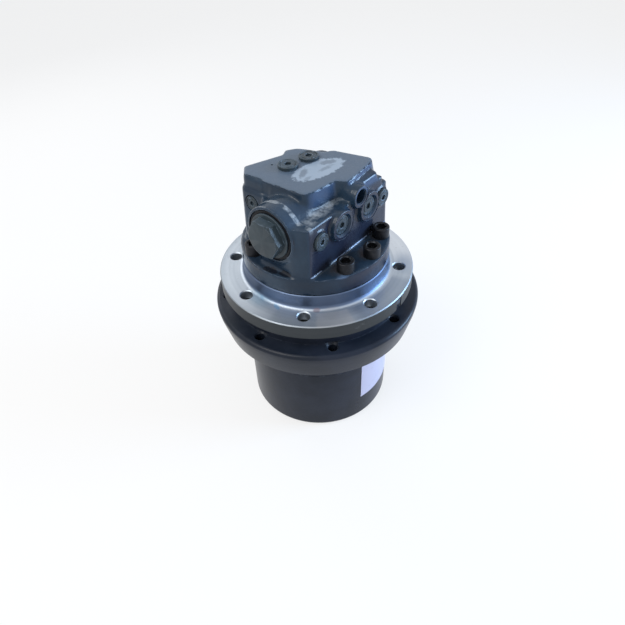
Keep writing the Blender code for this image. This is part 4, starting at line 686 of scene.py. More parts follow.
def bevel(shape: bmesh.types.BMesh, edges: list[bmesh.types.BMEdge], width: float, segments: int) -> None:
    """Round edges of an open mesh."""
    bmesh.ops.bevel(shape, geom=edges, offset=width, segments=segments, profile=0.5, affect="EDGES",
                    clamp_overlap=True, material=-1)


class Solid:
    """A closed mesh that bmesh operators shape, and booleans cut."""

    def __init__(self, name: str, shape: bmesh.types.BMesh) -> None:
        """Make the object of a finished bmesh.

        Args:
            name: Name of the object.
            shape: The mesh, which is freed.
        """
        bmesh.ops.remove_doubles(shape, verts=shape.verts, dist=WELD)
        bmesh.ops.recalc_face_normals(shape, faces=shape.faces)
        mesh = bpy.data.meshes.new(name)
        shape.to_mesh(mesh)
        shape.free()
        self.item = linked(name, mesh)

    @classmethod
    def lathe(cls, name: str, outline: Sequence[Point], steps: int = 96, closed: bool = True) -> Solid:
        """Spin an outline of (radius, height) about Z.

        Args:
            name: Name of the object.
            outline: The outline; an open one starts and ends on the axis.
            steps: Steps of the spin.
            closed: Whether the outline's ends are joined.

        Returns:
            The solid.
        """
        shape = bmesh.new()
        verts = [shape.verts.new((radius, 0, height)) for radius, height in outline]
        edges = [shape.edges.new(pair) for pair in zip(verts, verts[1:])]
        if closed:
            edges.append(shape.edges.new((verts[-1], verts[0])))
        bmesh.ops.spin(shape, geom=verts + edges, cent=(0, 0, 0), axis=UP, angle=math.tau, steps=steps,
                       use_merge=True)
        return cls(name, shape)

    @classmethod
    def slab(cls, name: str, outline: Sequence[Point], bottom: float, top: float) -> Solid:
        """Extrude a flat outline.

        Args:
            name: Name of the object.
            outline: Corners of the outline.
            bottom: Height that it starts at.
            top: Height that it ends at.

        Returns:
            The solid.
        """
        shape = bmesh.new()
        face = shape.faces.new([shape.verts.new((x, y, bottom)) for x, y in outline])
        raised = bmesh.ops.extrude_face_region(shape, geom=[face])["geom"]
        verts = [item for item in raised if isinstance(item, bmesh.types.BMVert)]
        bmesh.ops.translate(shape, verts=verts, vec=(0, 0, top - bottom))
        return cls(name, shape)

    @classmethod
    def bar(cls, name: str, radius: float, bottom: float, top: float, steps: int = 64) -> Solid:
        """Make an upright round bar on the Z axis.

        Args:
            name: Name of the object.
            radius: Radius of the bar.
            bottom: Height that it starts at.
            top: Height that it ends at.
            steps: Its sides.

        Returns:
            The solid.
        """
        shape = bmesh.new()
        bmesh.ops.create_cone(shape, cap_ends=True, segments=steps, radius1=radius, radius2=radius,
                              depth=top - bottom, matrix=Matrix.Translation((0, 0, (top + bottom) / 2)))
        return cls(name, shape)

    def round_edges(self, width: float, segments: int = 2, angle: float = 28.0) -> Solid:
        """Round every edge that is sharper than an angle.

        Args:
            width: Width of the rounding.
            segments: Its faces.
            angle: The angle in degrees.

        Returns:
            This solid.
        """
        limit = math.radians(angle)
        with opened(self.item.data) as shape:
            bevel(shape, [edge for edge in shape.edges if edge.calc_face_angle(0.0) > limit], width, segments)
        return self

    def move(self, matrix: Matrix) -> Solid:
        """Turn and shift the mesh itself."""
        self.item.data.transform(matrix)
        return self

    def at(self, x: float, y: float, z: float = 0.0) -> Solid:
        """Shift the mesh."""
        return self.move(Matrix.Translation((x, y, z)))

    def aim(self, place: Place, direction: Place) -> Solid:
        """Carry a mesh built along +Z so that it starts at a place and points along a direction."""
        turn = Vector(UP).rotation_difference(Vector(direction)).to_matrix().to_4x4()
        return self.move(Matrix.Translation(place) @ turn)

    def bake(self) -> Solid:
        """Apply the object's modifiers to its mesh."""
        bpy.context.view_layer.update()
        view = bpy.context.evaluated_depsgraph_get()
        result = bpy.data.meshes.new_from_object(self.item.evaluated_get(view))
        self.item.modifiers.clear()
        self.item.data = result
        return self

    def boolean(self, tool: Solid, operation: Operation) -> Solid:
        """Cut, add or keep with another solid.

        Args:
            tool: The other solid, which is then removed.
            operation: What it does.

        Returns:
            This solid.
        """
        step = self.item.modifiers.new("step", "BOOLEAN")
        step.operation = operation.value
        step.object = tool.item
        self.bake()
        bpy.data.objects.remove(tool.item, do_unlink=True)
        return self

    def drill(self, outline: Sequence[Point], steps: int, circle: float, phase: float) -> Solid:
        """Cut a circle of eight equal holes.

        Args:
            outline: Outline of a hole's cutter.
            steps: Steps of its spin.
            circle: Radius of the circle.
            phase: Angle of the first hole in degrees.

        Returns:
            This solid.
        """
        holes = [Solid.lathe("hole", outline, steps, closed=False).at(*polar(circle, phase + 45 * k)) for k in range(8)]
        return self.boolean(holes[0].gather(holes[1:]), Operation.CUT)

    def gather(self, others: Sequence[Solid]) -> Solid:
        """Take the meshes of other solids into this one.

        Args:
            others: The other solids, which are then removed.

        Returns:
            This solid.
        """
        with opened(self.item.data) as shape:
            for other in others:
                shape.from_mesh(other.item.data)
                bpy.data.objects.remove(other.item, do_unlink=True)
        return self

    def recast(self, voxel: float, smooth: int) -> Solid:
        """Remesh evenly and smooth, which leaves the soft inner corners of a casting.

        Args:
            voxel: Size of the new faces.
            smooth: Rounds of smoothing.

        Returns:
            This solid.
        """
        remesh = self.item.modifiers.new("remesh", "REMESH")
        remesh.mode = "VOXEL"
        remesh.voxel_size = voxel
        blend = self.item.modifiers.new("smooth", "SMOOTH")
        blend.factor = 0.5
        blend.iterations = smooth
        return self.bake()

    def shade(self, angle: float = 30.0) -> Solid:
        """Shade smooth with sharp edges kept.

        Args:
            angle: Least angle of a sharp edge, in degrees.

        Returns:
            This solid.
        """
        self.item.data.shade_smooth()
        self.item.data.set_sharp_from_angle(angle=math.radians(angle))
        return self

    def dress(self, finish: Finish, rider: Rider | None, *replaced: str) -> bpy.types.Object:
        """Give the piece its finish and body, and hide the CAD nodes that it stands for.

        Args:
            finish: The finish.
            rider: The body it rides on, or None for a piece that is left without a body.
            replaced: CAD nodes that are hidden.

        Returns:
            The object.
        """
        self.item.data.materials.clear()
        self.item.data.materials.append(finish.material())
        if rider:
            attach(self.item, rider.value)
        if replaced:
            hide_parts(*replaced)
        LOG.info("%s: %d faces on %s", self.item.name, len(self.item.data.polygons), rider or "two bodies")
        return self.item


def polar(radius: float, degrees: float) -> Point:
    """Point at a radius and an angle about Z."""
    angle = math.radians(degrees)
    return radius * math.cos(angle), radius * math.sin(angle)


def arc(centre: Point, radius: float, start: float, end: float, steps: int = 8) -> list[Point]:
    """Points of an arc between two angles in degrees."""
    sweep = [start + (end - start) * k / steps for k in range(steps + 1)]
    return [(centre[0] + polar(radius, a)[0], centre[1] + polar(radius, a)[1]) for a in sweep]


def hexagon(across_flats: float, degrees: float = 0.0) -> list[Point]:
    """Corners of a hexagon given its size across flats."""
    return [polar(across_flats / math.sqrt(3), degrees + 60 * k) for k in range(6)]


def rectangle(left: float, front: float, right: float, back: float) -> list[Point]:
    """Corners of a rectangle given its four sides."""
    return [(left, front), (right, front), (right, back), (left, back)]


# Turned castings


@dataclass
class Spindle:
    """Frame flange, spigot and the tube inside the hub."""

    finish: TurnedSteel = TURNED
    face_z: float = 0.191
    flange_r: float = 0.108
    flange_t: float = 0.0168
    spigot_r: float = 0.081
    spigot_h: float = 0.017
    fillet: float = 0.005
    hole_circle: float = 0.0925
    hole_r: float = 0.00675
    hole_phase: float = -13.3
    notch_angle: float = -87.0
    notch: Sides = (0.1035, -0.0045, 0.112, 0.0045)
    notch_z: Point = (0.170, 0.1875)
    post_circle: float = 0.045
    post_r: float = 0.0075
    post_z: Point = (0.0612, 0.0885)

    def outline(self) -> list[Point]:
        """Closed outline of the casting, outside and inside."""
        top = self.face_z + self.spigot_h
        back = self.face_z - self.flange_t
        soft = 0.0008
        fillet = arc((self.spigot_r + self.fillet, self.face_z + self.fillet), self.fillet, 180, 270, 10)
        return [(0.058, top), (self.spigot_r - soft, top), (self.spigot_r, top - soft), *fillet,
                (self.flange_r - 0.001, self.face_z), (self.flange_r, self.face_z - 0.001),
                (self.flange_r, back + 0.001), (self.flange_r - 0.001, back), (0.0913, back), (0.0913, back + 0.0063),
                (0.066, back + 0.0063), (0.066, 0.1573), (0.060, 0.1573), (0.060, 0.0955), (0.0563, 0.088),
                (0.0145, 0.088), (0.0145, 0.099), (0.020, 0.099), (0.020, 0.108), (0.026, 0.108), (0.026, 0.124),
                (0.046, 0.124), (0.046, 0.176), (0.054, 0.176), (0.054, 0.186), (0.058, 0.186)]

    def hole(self) -> list[Point]:
        """Outline of the cutter of a flange hole with broken edges."""
        back, lip, past = self.face_z - self.flange_t, 0.0009, 0.003
        radius = self.hole_r
        return [(0, back - past), (radius + lip + past, back - past), (radius, back + lip),
                (radius, self.face_z - lip), (radius + lip + past, self.face_z + past), (0, self.face_z + past)]

    def build(self) -> None:
        """Build and dress the casting."""
        body = Solid.lathe("spindle_casting", self.outline(), 160)
        body.drill(self.hole(), 48, self.hole_circle, self.hole_phase)
        notch = Solid.slab("notch", rectangle(*self.notch), *self.notch_z)
        body.boolean(notch.move(Matrix.Rotation(math.radians(self.notch_angle), 4, "Z")), Operation.CUT)
        body.gather([Solid.bar("post", self.post_r, *self.post_z, 32).at(*polar(self.post_circle, 120 * k))
                     for k in range(3)])
        body.shade(25).dress(self.finish, Rider.FRAME, "spindle")


@dataclass
class Hub:
    """Turning housing with its sprocket flange and its bare film."""

    finish: CastPaint = HUB_PAINT
    radius: float = 0.085
    foot: float = 0.006
    face_z: float = 0.121
    top_z: float = 0.1565
    rim_r: float = 0.117
    rim_lip: float = 0.0042
    hole_circle: float = 0.103
    hole_r: float = 0.0051
    mouth_r: float = 0.0064
    hole_phase: float = 3.5
    label_angles: Point = (-104.5, -50.0)
    label_heights: Point = (0.034, 0.103)
    label_t: Point = (0.00005, 0.00028)

    def outline(self) -> list[Point]:
        """Closed outline of the casting, outside and inside."""
        foot = arc((self.radius - self.foot, self.foot), self.foot, 270, 360, 8)
        under = arc((self.radius + 0.005, self.face_z - 0.005), 0.005, 180, 90, 8)
        lip = self.rim_lip
        crown = arc((self.rim_r - lip, self.top_z - lip), lip, -12, 90, 10)
        return [(0.0772, 0), *foot, (0.085, 0.0905), (0.0847, 0.0908), (0.0847, 0.0914), (0.085, 0.0917), *under,
                (0.109, self.face_z), (0.110, self.face_z + 0.0012), (0.1160, 0.1455), *crown,
                (0.1015, self.top_z), (0.0990, self.top_z + 0.0008), (0.0985, self.top_z + 0.0025), (0.0985, 0.1708),
                (0.0978, 0.1715), (0.0913, 0.1715), (0.0913, 0.1573), (0.0763, 0.1573), (0.0763, 0.141),
                (0.072, 0.141), (0.072, 0.1308), (0.0763, 0.1308), (0.0763, 0.017), (0.0772, 0.017), (0.0772, 0.006),
                (0.0796, 0.006), (0.0796, 0.0034), (0.0772, 0.0034)]

    def build(self) -> None:
        """Build and dress the casting and its film."""
        body = Solid.lathe("hub_casting", self.outline(), 160)
        slope, past = self.mouth_r - self.hole_r, 0.003
        hole = [(0, self.face_z - past), (self.hole_r, self.face_z - past), (self.hole_r, self.top_z - slope),
                (self.mouth_r + past, self.top_z + past), (0, self.top_z + past)]
        body.drill(hole, 40, self.hole_circle, self.hole_phase)
        body.shade(25).dress(self.finish, Rider.HUB, "hub")
        self.label()

    def label(self) -> None:
        """Thin bare film on the housing."""
        low, high = self.label_heights
        start, end = (math.radians(angle) for angle in self.label_angles)
        inner, outer = (self.radius + height for height in self.label_t)
        shape = bmesh.new()
        face = shape.faces.new([shape.verts.new((x, 0, z)) for x, z in rectangle(inner, low, outer, high)])
        bmesh.ops.rotate(shape, verts=shape.verts, cent=(0, 0, 0), matrix=Matrix.Rotation(start, 3, "Z"))
        bmesh.ops.spin(shape, geom=[face, *face.edges, *face.verts], cent=(0, 0, 0), axis=UP, angle=end - start,
                       steps=36)
        Solid("label_film", shape).shade(40).dress(LABEL, Rider.HUB)


# Valve block


@dataclass(frozen=True)
class Seat:
    """Machined seat: a flat face, a chamfered mouth and a bore."""

    face_r: float
    bore_r: float
    mouth_r: float
    depth: float
    above: float = 0.008
    lean: float = 0.0006

    def cutter(self, place: Place, direction: Place) -> Solid:
        """Cutter of the seat.

        Args:
            place: Middle of its flat face.
            direction: Where its bore points.

        Returns:
            The cutter.
        """
        outline = [(0, -self.above), (self.face_r + self.lean, -self.above), (self.face_r, 0.0), (self.mouth_r, 0.0),
                   (self.bore_r, self.mouth_r - self.bore_r), (self.bore_r, self.depth), (0, self.depth)]
        return Solid.lathe("seat", outline, 64, closed=False).aim(place, direction)


@dataclass
class ValveBlock:
    """Painted casting: base disc, body, crown, apron, column, pad and bosses, with machined seats."""

    finish: BlockPaint = BLOCK_PAINT
    base_r: float = 0.0805
    base_z: float = 0.2083
    ledge_z: float = 0.2273
    body_top: float = 0.288
    shoulder_top: float = 0.283
    low_top: float = 0.2785
    top_z: float = 0.303
    port_y: float = -0.046
    cap_y: float = -0.0045
    cap_z: float = 0.267
    cap_x: float = 0.070
    right_x: float = 0.066
    boss_r: float = 0.030
    boss_rim: float = 0.0022
    port_boss: float = 0.0055
    port_boss_r: float = 0.016
    drain_boss: float = 0.005
    drain_boss_r: float = 0.0118
    gauge_boss: float = 0.0008
    gauge_boss_r: float = 0.011
    ports: tuple[Point, ...] = ((-0.0165, 0.2675), (0.0275, 0.2675))
    drain: Point = (0.0125, 0.2855)
    gauges: tuple[Point, ...] = ((-0.048, 0.2652), (0.0532, 0.2652))
    side_plug: Place = (-0.0455, 0.041, 0.2745)
    top_plugs: tuple[Point, ...] = ((-0.0085, 0.0255), (0.018, 0.0205))
    pit: Point = (-0.015, 0.0415)
    screw_circle: float = 0.0705
    screws: tuple[float, ...] = (-115, -85, -55, 65, 95, 155)
    port_seat: Seat = Seat(0.0152, 0.0105, 0.0124, 0.024)
    drain_seat: Seat = Seat(0.0110, 0.0074, 0.0087, 0.020)
    gauge_seat: Seat = Seat(0.0104, 0.006, 0.0066, 0.013)
    side_seat: Seat = Seat(0.0092, 0.0055, 0.006, 0.013)
    top_seat: Seat = Seat(0.0116, 0.0075, 0.008, 0.016)
    cap_seat: Seat = Seat(0.0272, 0.0208, 0.0215, 0.0203)
    end_seat: Seat = Seat(0.0162, 0.0127, 0.0132, 0.0162)
    screw_seat: Seat = Seat(0.0097, 0.0063, 0.0066, 0.0205)
    pit_seat: Seat = Seat(0.0012, 0.0010, 0.0012, 0.004)
    above: float = 0.31
    sunk: float = 0.006
    body_edge: float = 0.0045
    voxel: float = 0.0014
    low_end: Sides = (0.056, -0.09, 0.09, -0.022)
    shoulder: Sides = (-0.09, -0.09, 0.003, -0.016)
    pad: Sides = (0.001, -0.0452, 0.050, -0.026)
    pad_h: float = 0.008
    apron_z: float = 0.262
    crown_edge: float = 0.0022
    crown_corner: float = 0.0045
    crown: tuple[Point, ...] = (
        (-0.0408, -0.0216), (-0.0444, 0.0264), (-0.0420, 0.0312), (-0.0456, 0.0516), (-0.0336, 0.0630),
        (0.0084, 0.0480), (0.0174, 0.0528), (0.0282, 0.0456), (0.0330, 0.0348), (0.0384, 0.0174),
        (0.0474, 0.0120), (0.0576, -0.0300), (0.0516, -0.0354), (0.0204, -0.0396), (0.0036, -0.0408),
        (-0.0018, -0.0300), (-0.0330, -0.0264))
    apron_back: tuple[Point, ...] = ((-0.0440, 0.0200), (0.0460, 0.0120))
    column: tuple[Place, ...] = (
        (-0.0450, 0.0255, 0.003), (-0.0100, 0.0255, 0.003), (-0.0100, 0.0540, 0.003), (-0.0325, 0.0630, 0.006),
        (-0.0458, 0.0530, 0.004))
    plan: tuple[Place, ...] = (
        (-0.0695, -0.029, 0.010), (-0.0685, -0.037, 0.008), (-0.0622, -0.046, 0.0025), (0.066, -0.046, 0.005),
        (0.066, 0.046, 0.012), (-0.0125, 0.046, 0.005), (-0.0175, 0.056, 0.005), (-0.033, 0.064, 0.006),
        (-0.0485, 0.0545, 0.004), (-0.0485, 0.019, 0.012), (-0.068, 0.019, 0.012))

    def raised(self, name: str, plan: Sequence[Place], bottom: float, top: float, edge: float,
               spread: float = 1.0) -> Solid:
        """Slab whose upright corners and top edge are rounded, and whose foot may spread.

        Args:
            name: Name of the solid.
            plan: Corners as x, y and radius.
            bottom: Height of its foot.
            top: Height of its top.
            edge: Radius of the top edge.
            spread: Size of the foot as a share of the top's size.

        Returns:
            The solid.
        """
        block = Solid.slab(name, [(x, y) for x, y, radius in plan], bottom, top)
        with opened(block.item.data) as shape:
            for radius in sorted({corner[2] for corner in plan}):
                places = [Vector((x, y)) for x, y, size in plan if size == radius]
                upright = [line for line in shape.edges if abs(line.verts[0].co.z - line.verts[1].co.z) > NEAR
                           and any((line.verts[0].co.xy - place).length < NEAR / 2 for place in places)]
                bevel(shape, upright, radius, 6)
            foot = [vert for vert in shape.verts if vert.co.z < bottom + NEAR]
            bmesh.ops.scale(shape, verts=foot, vec=(spread, spread, 1.0))
            bevel(shape, [line for line in shape.edges if min(v.co.z for v in line.verts) > top - NEAR], edge, 6)
        return block

    def cast(self) -> Solid:
        """All forms of the casting, still overlapping."""
        casting = Solid.bar("valve_block_casting", self.base_r, self.base_z, self.ledge_z, 128)
        foot, rim = self.ledge_z - self.sunk, self.crown_edge
        crown = [(x, y, self.crown_corner) for x, y in self.crown]
        apron = [crown[0], *((x, y, self.crown_corner) for x, y in self.apron_back), *crown[11:]]
        pad = [(x, y, 0.005) for x, y in rectangle(*self.pad)]
        body = self.raised("body", self.plan, foot, self.body_top, self.body_edge, 1.03)
        for sides, height in ((self.low_end, self.low_top), (self.shoulder, self.shoulder_top)):
            body.boolean(Solid.slab("space", rectangle(*sides), height, self.above), Operation.CUT)
        forms = [body,
                 self.raised("crown", crown, foot, self.top_z, rim, 1.05),
                 self.raised("apron", apron, self.apron_z, self.top_z, rim, 1.13),
                 self.raised("column", self.column, foot, self.top_z - rim, rim, 1.05),
                 self.raised("pad", pad, foot, self.body_top + self.pad_h, 0.004)]
        boss = Solid.bar("cap_boss", self.boss_r, 0.030, self.cap_x + self.boss_rim, 96)
        forms.append(boss.aim((0, self.cap_y, self.cap_z), LEFT))
        fronts = [(*port, self.port_boss_r, self.port_boss) for port in self.ports]
        fronts.append((*self.drain, self.drain_boss_r, self.drain_boss))
        fronts += [(*gauge, self.gauge_boss_r, self.gauge_boss) for gauge in self.gauges]
        for x, z, radius, height in fronts:
            forms.append(Solid.bar("front_boss", radius, -0.010, height + 0.0008).aim((x, self.port_y, z), FORWARD))
        return casting.gather(forms)

    def seats(self) -> list[Solid]:
        """Cutters of every machined seat."""
        spots = [(self.port_seat, (x, self.port_y - self.port_boss, z), BACKWARD) for x, z in self.ports]
        spots.append((self.drain_seat, (self.drain[0], self.port_y - self.drain_boss, self.drain[1]), BACKWARD))
        spots += [(self.gauge_seat, (x, self.port_y - self.gauge_boss, z), BACKWARD) for x, z in self.gauges]
        spots.append((self.side_seat, self.side_plug, RIGHT))
        spots += [(self.top_seat, (x, y, self.top_z), DOWN) for x, y in self.top_plugs]
        spots.append((self.cap_seat, (-self.cap_x, self.cap_y, self.cap_z), RIGHT))
        spots.append((self.end_seat, (self.right_x, self.cap_y, self.cap_z), LEFT))
        spots += [(self.screw_seat, (*polar(self.screw_circle, angle), self.ledge_z), DOWN) for angle in self.screws]
        spots.append((self.pit_seat, (*self.pit, self.top_z), DOWN))
        return [seat.cutter(place, direction) for seat, place, direction in spots]

    def build(self) -> None:
        """Build and dress the casting."""
        casting = self.cast().recast(self.voxel, 4)
        for tool in self.seats():
            casting.boolean(tool, Operation.CUT)
        casting.shade(35).dress(self.finish, Rider.FRAME, "valve_block")


# Screws, plugs and caps


@dataclass(frozen=True)
class SocketHead:
    """Screw or plug with a hexagon socket, built with its seat at z = 0 and its head up."""

    head_r: float
    head_h: float
    shank_r: float
    shank_l: float
    socket: float
    depth: float
    edge: float = 0.0008
    groove: float = 0.0
    groove_shares: Point = (0.82, 0.70)
    mouth_shares: Point = (0.62, 0.57)
    mouth_h: float = 0.05

    def build(self, name: str) -> Solid:
        """Build the solid.

        Args:
            name: Name of the object.

        Returns:
            The solid.
        """
        edge, top, dip = self.edge, self.head_h, self.groove
        outer, inner = (self.head_r * share for share in self.groove_shares)
        mouth, floor = (self.socket * share for share in self.mouth_shares)
        low = top - self.socket * self.mouth_h
        ring = [(outer, top), (outer - dip / 2, top - dip), (inner + dip / 2, top - dip), (inner, top)] if dip else []
        outline = [(0, -self.shank_l), (self.shank_r, -self.shank_l), (self.shank_r, 0), (self.head_r - edge / 3, 0),
                   (self.head_r, edge / 3), (self.head_r, top - edge),
                   *arc((self.head_r - edge, top - edge), edge, 15, 90, 4), *ring, (mouth, top), (floor, low),
                   (0, low)]
        screw = Solid.lathe(name, outline, 64, closed=False)
        screw.boolean(Solid.slab("socket", hexagon(self.socket), top - self.depth, top + 0.002), Operation.CUT)
        return screw.shade(28)


@dataclass
class Fasteners:
    """The block's screws and every plug; a plug's sizes are its head's radius and its shank's radius and length."""

    block: ValveBlock
    screw: SocketHead = SocketHead(0.009, 0.012, 0.006, 0.040, 0.010, 0.006, 0.0011)
    head_h: float = 0.0034
    depth: float = 0.0026
    edge: float = 0.0007
    groove: float = 0.0006
    socket_share: float = 0.62
    port_sink: float = 0.002
    port_plug: Place = (0.0102, 0.0092, 0.014)
    gauge_plug: Place = (0.0092, 0.0057, 0.011)
    side_plug: Place = (0.0080, 0.0052, 0.011)
    top_plug: Place = (0.0106, 0.0072, 0.014)
    cover_plug: Place = (0.010, 0.007, 0.0064)
    cover_socket: float = 0.0062
    cover_seat_z: float = 0.0063
    cover_circle: float = 0.052
    cover_angles: Point = (40, 220)

    def plug(self, name: str, sizes: Place, place: Place, direction: Place) -> None:
        """Build and dress a plug of the block.

        Args:
            name: CAD node that it stands for.
            sizes: Its sizes.
            place: Middle of its seat.
            direction: Where its head points.
        """
        head_r, shank_r, shank_l = sizes
        socket = head_r * self.socket_share
        plug = SocketHead(head_r, self.head_h, shank_r, shank_l, socket, self.depth, self.edge, self.groove)
        plug.build(f"{name}_fine").aim(place, direction).dress(PLUG_PAINT, Rider.FRAME, name)

    def build(self) -> None:
        """Build and dress every screw and plug."""
        block = self.block
        for number, angle in enumerate(block.screws, 1):
            screw = self.screw.build(f"screw_{number}").at(*polar(block.screw_circle, angle), block.ledge_z + GAP)
            screw.dress(OXIDE, Rider.FRAME, f"block_screw_{number}")
        face = block.port_y - block.port_boss + self.port_sink + self.head_h
        for letter, (x, z) in zip("ab", block.ports):
            self.plug(f"port_plug_{letter}", self.port_plug, (x, face, z), FORWARD)
        face = block.port_y - block.gauge_boss - GAP
        for number, (x, z) in enumerate(block.gauges, 1):
            self.plug(f"gauge_plug_{number}", self.gauge_plug, (x, face, z), FORWARD)
        x, y, z = block.side_plug
        self.plug("side_plug", self.side_plug, (x - GAP, y, z), LEFT)
        for number, (x, y) in enumerate(block.top_plugs, 1):
            self.plug(f"top_plug_{number}", self.top_plug, (x, y, block.top_z + GAP), UP)
        head_r, shank_r, shank_l = self.cover_plug
        cover = SocketHead(head_r, self.head_h, shank_r, shank_l, self.cover_socket, self.depth, self.edge)
        for number, angle in enumerate(self.cover_angles, 1):
            place = (*polar(self.cover_circle, angle), self.cover_seat_z + self.head_h - GAP)
            piece = cover.build(f"cover_plug_{number}_fine").aim(place, DOWN)
            piece.dress(GEAR, Rider.HUB, f"cover_plug_{number}")


@dataclass
class SpoolEnds:
    """Hexagon cap with its washer at the left end of the counterbalance bore, and the low plug at the right."""

    block: ValveBlock
    collar_r: float = 0.0235
    collar_t: float = 0.0036
    collar_edge: float = 0.0008
    washer_r: float = 0.0262
    washer_t: float = 0.0016
    flats: float = 0.036
    hex_t: float = 0.0095
    hex_foot: float = 0.002
    hex_slope: float = 0.0030
    thread_r: float = 0.0203
    thread_l: float = 0.020
    cap_room_r: float = 0.0115
    cap_wall: float = 0.0075
    end_plug: SocketHead = SocketHead(0.0155, 0.0035, 0.0122, 0.0160, 0.012, 0.003, 0.0009, 0.0007)
    end_room: Place = (0.0100, -0.018, -0.0016)

    def build(self) -> None:
        """Build and dress the cap, its washer and the plug."""
        block, thread, collar, edge = self.block, self.thread_r, self.collar_r, self.collar_edge
        top = self.collar_t + self.hex_t
        corner = self.flats / math.sqrt(3) + 0.002
        place = (-block.cap_x - GAP, block.cap_y, block.cap_z)
        outline = [(0, -self.thread_l), (thread - 0.001, -self.thread_l), (thread, 0.001 - self.thread_l),
                   (thread, self.washer_t + 0.0001), (collar - 0.0003, self.washer_t + 0.0001),
                   (collar, self.washer_t + 0.0004), (collar, self.collar_t - edge),
                   *arc((collar - edge, self.collar_t - edge), edge, 20, 90, 3), (0, self.collar_t)]
        cap = Solid.lathe("spool_cap_fine", outline, 96, closed=False)
        head = Solid.slab("head", hexagon(self.flats, 30), self.hex_foot, top).round_edges(0.0009, 3, 40)
        dome = [(0, 0), (corner, 0), (corner, top - self.hex_slope), (self.flats / 2 - 0.0004, top), (0, top)]
        cap.boolean(head.boolean(Solid.lathe("dome", dome, 96, closed=False), Operation.KEEP), Operation.ADD)
        room = Solid.bar("room", self.cap_room_r, -self.thread_l - 0.002, top - self.cap_wall, 48)
        cap.boolean(room, Operation.CUT).aim(place, LEFT).shade(25).dress(PLUG_PAINT, Rider.FRAME, "spool_cap")
        inner, outer, thick = thread + 0.0002, self.washer_r, self.washer_t
        ring = [(inner, 0), (outer - 0.0002, 0), (outer, 0.0002), (outer, thick - 0.0004), (outer - 0.0004, thick),
                (inner, thick)]
        # The washer's near-black finish is partly painted shade in the recess round the cap.
        washer = Solid.lathe("spool_cap_washer", ring, 96).aim(place, LEFT)
        washer.shade(25).dress(WASHER_BLACK_AND_SHADE, Rider.FRAME)
        plug = self.end_plug.build("spool_end_plug_fine").boolean(Solid.bar("room", *self.end_room, 48), Operation.CUT)
        plug.aim((block.right_x + GAP, block.cap_y, block.cap_z), RIGHT)
        plug.shade(25).dress(PLUG_PAINT, Rider.FRAME, "spool_end_plug")


# Springs


@dataclass
class Springs:
    """Two coils at the counterbalance spool and the disc spring at the brake piston."""

    wire_r: float = 0.0011
    wire_sides: int = 12
    turns: int = 4
    steps: int = 24
    disc_t: float = 0.0022
    disc_inner_r: float = 0.0430

    def coil(self, side: int, replaced: str) -> None:
        """Coil between the spool and a closed end of its bore.

        Args:
            side: -1 for the left spring, 1 for the right one.
            replaced: CAD node that the coil stands for.
        """
        low, high = (Vector(corner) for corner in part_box(replaced))
        middle = (low + high) / 2
        radius = (high.z - low.z) / 2 - self.wire_r
        near, far = sorted((low.x, high.x), key=abs)
        start, end = near + side * self.wire_r, far - side * self.wire_r
        count = self.turns * self.steps
        shape = bmesh.new()
        bmesh.ops.create_circle(shape, cap_ends=True, segments=self.wire_sides, radius=self.wire_r)
        turned = Matrix.Translation((start, middle.y + radius, middle.z))
        bmesh.ops.transform(shape, matrix=turned, verts=shape.verts)
        bmesh.ops.spin(shape, geom=[*shape.faces, *shape.edges, *shape.verts], cent=(0, middle.y, middle.z),
                       axis=RIGHT, dvec=((end - start) / count, 0, 0), angle=math.tau * self.turns, steps=count)
        piece = Solid(f"{replaced}_coil", shape).shade(40).dress(SPRING, None, replaced)
        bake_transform(piece)

    def disc(self) -> None:
        """Disc spring between the brake piston and the foot of the valve block."""
        low, high = (Vector(corner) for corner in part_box("brake_spring"))
        thick, inner, outer = self.disc_t, self.disc_inner_r, high.x
        outline = [(inner, high.z - thick), (outer, low.z), (outer, low.z + thick), (inner, high.z)]
        ring = Solid.lathe("brake_spring_disc", outline, 96).round_edges(0.0003).shade(30)
        piece = ring.dress(SPRING, None, "brake_spring")
        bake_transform(piece)

    def build(self) -> None:
        """Build and dress the three springs."""
        self.coil(-1, "spool_spring_left")
        self.coil(1, "spool_spring_right")
        self.disc()


# Inner pieces keep their solids and take a finish


@dataclass
class InnerPieces:
    """Finishes of the CAD nodes that keep their own shape."""

    finishes: tuple[Finish, ...] = (GROUND, GEAR, BRONZE, SPRING, RUBBER, HUB_PAINT, PLUG_PAINT, BLOCK_PAINT, TURNED,
                                    OXIDE)

    def build(self) -> None:
        """Dress every CAD node by its slot."""
        by_slot = {finish.slot: finish for finish in self.finishes}
        for part in frame["record"]["subparts"]:
            item = frame["nodes"][part["node"]]
            item.data.materials.clear()
            item.data.materials.append(by_slot[part["material_slot"]].material())
        LOG.info("inner pieces: %d finishes on %d nodes", len(by_slot), len(frame["nodes"]))


# Floor, light and camera


@dataclass(frozen=True)
class Lamp:
    """Soft square lamp that looks at the drive."""

    name: str
    place: Place
    size: float
    power: float
    colour: Colour = (1.0, 1.0, 1.0)

    def build(self, target: Place) -> None:
        """Hang the lamp.

        Args:
            target: The place that it looks at.
        """
        light = bpy.data.lights.new(self.name, "AREA")
        light.size = self.size
        light.energy = self.power
        light.color = self.colour
        item = linked(self.name, light)
        item.location = self.place
        item.rotation_euler = (Vector(target) - Vector(self.place)).to_track_quat("-Z", "Y").to_euler()


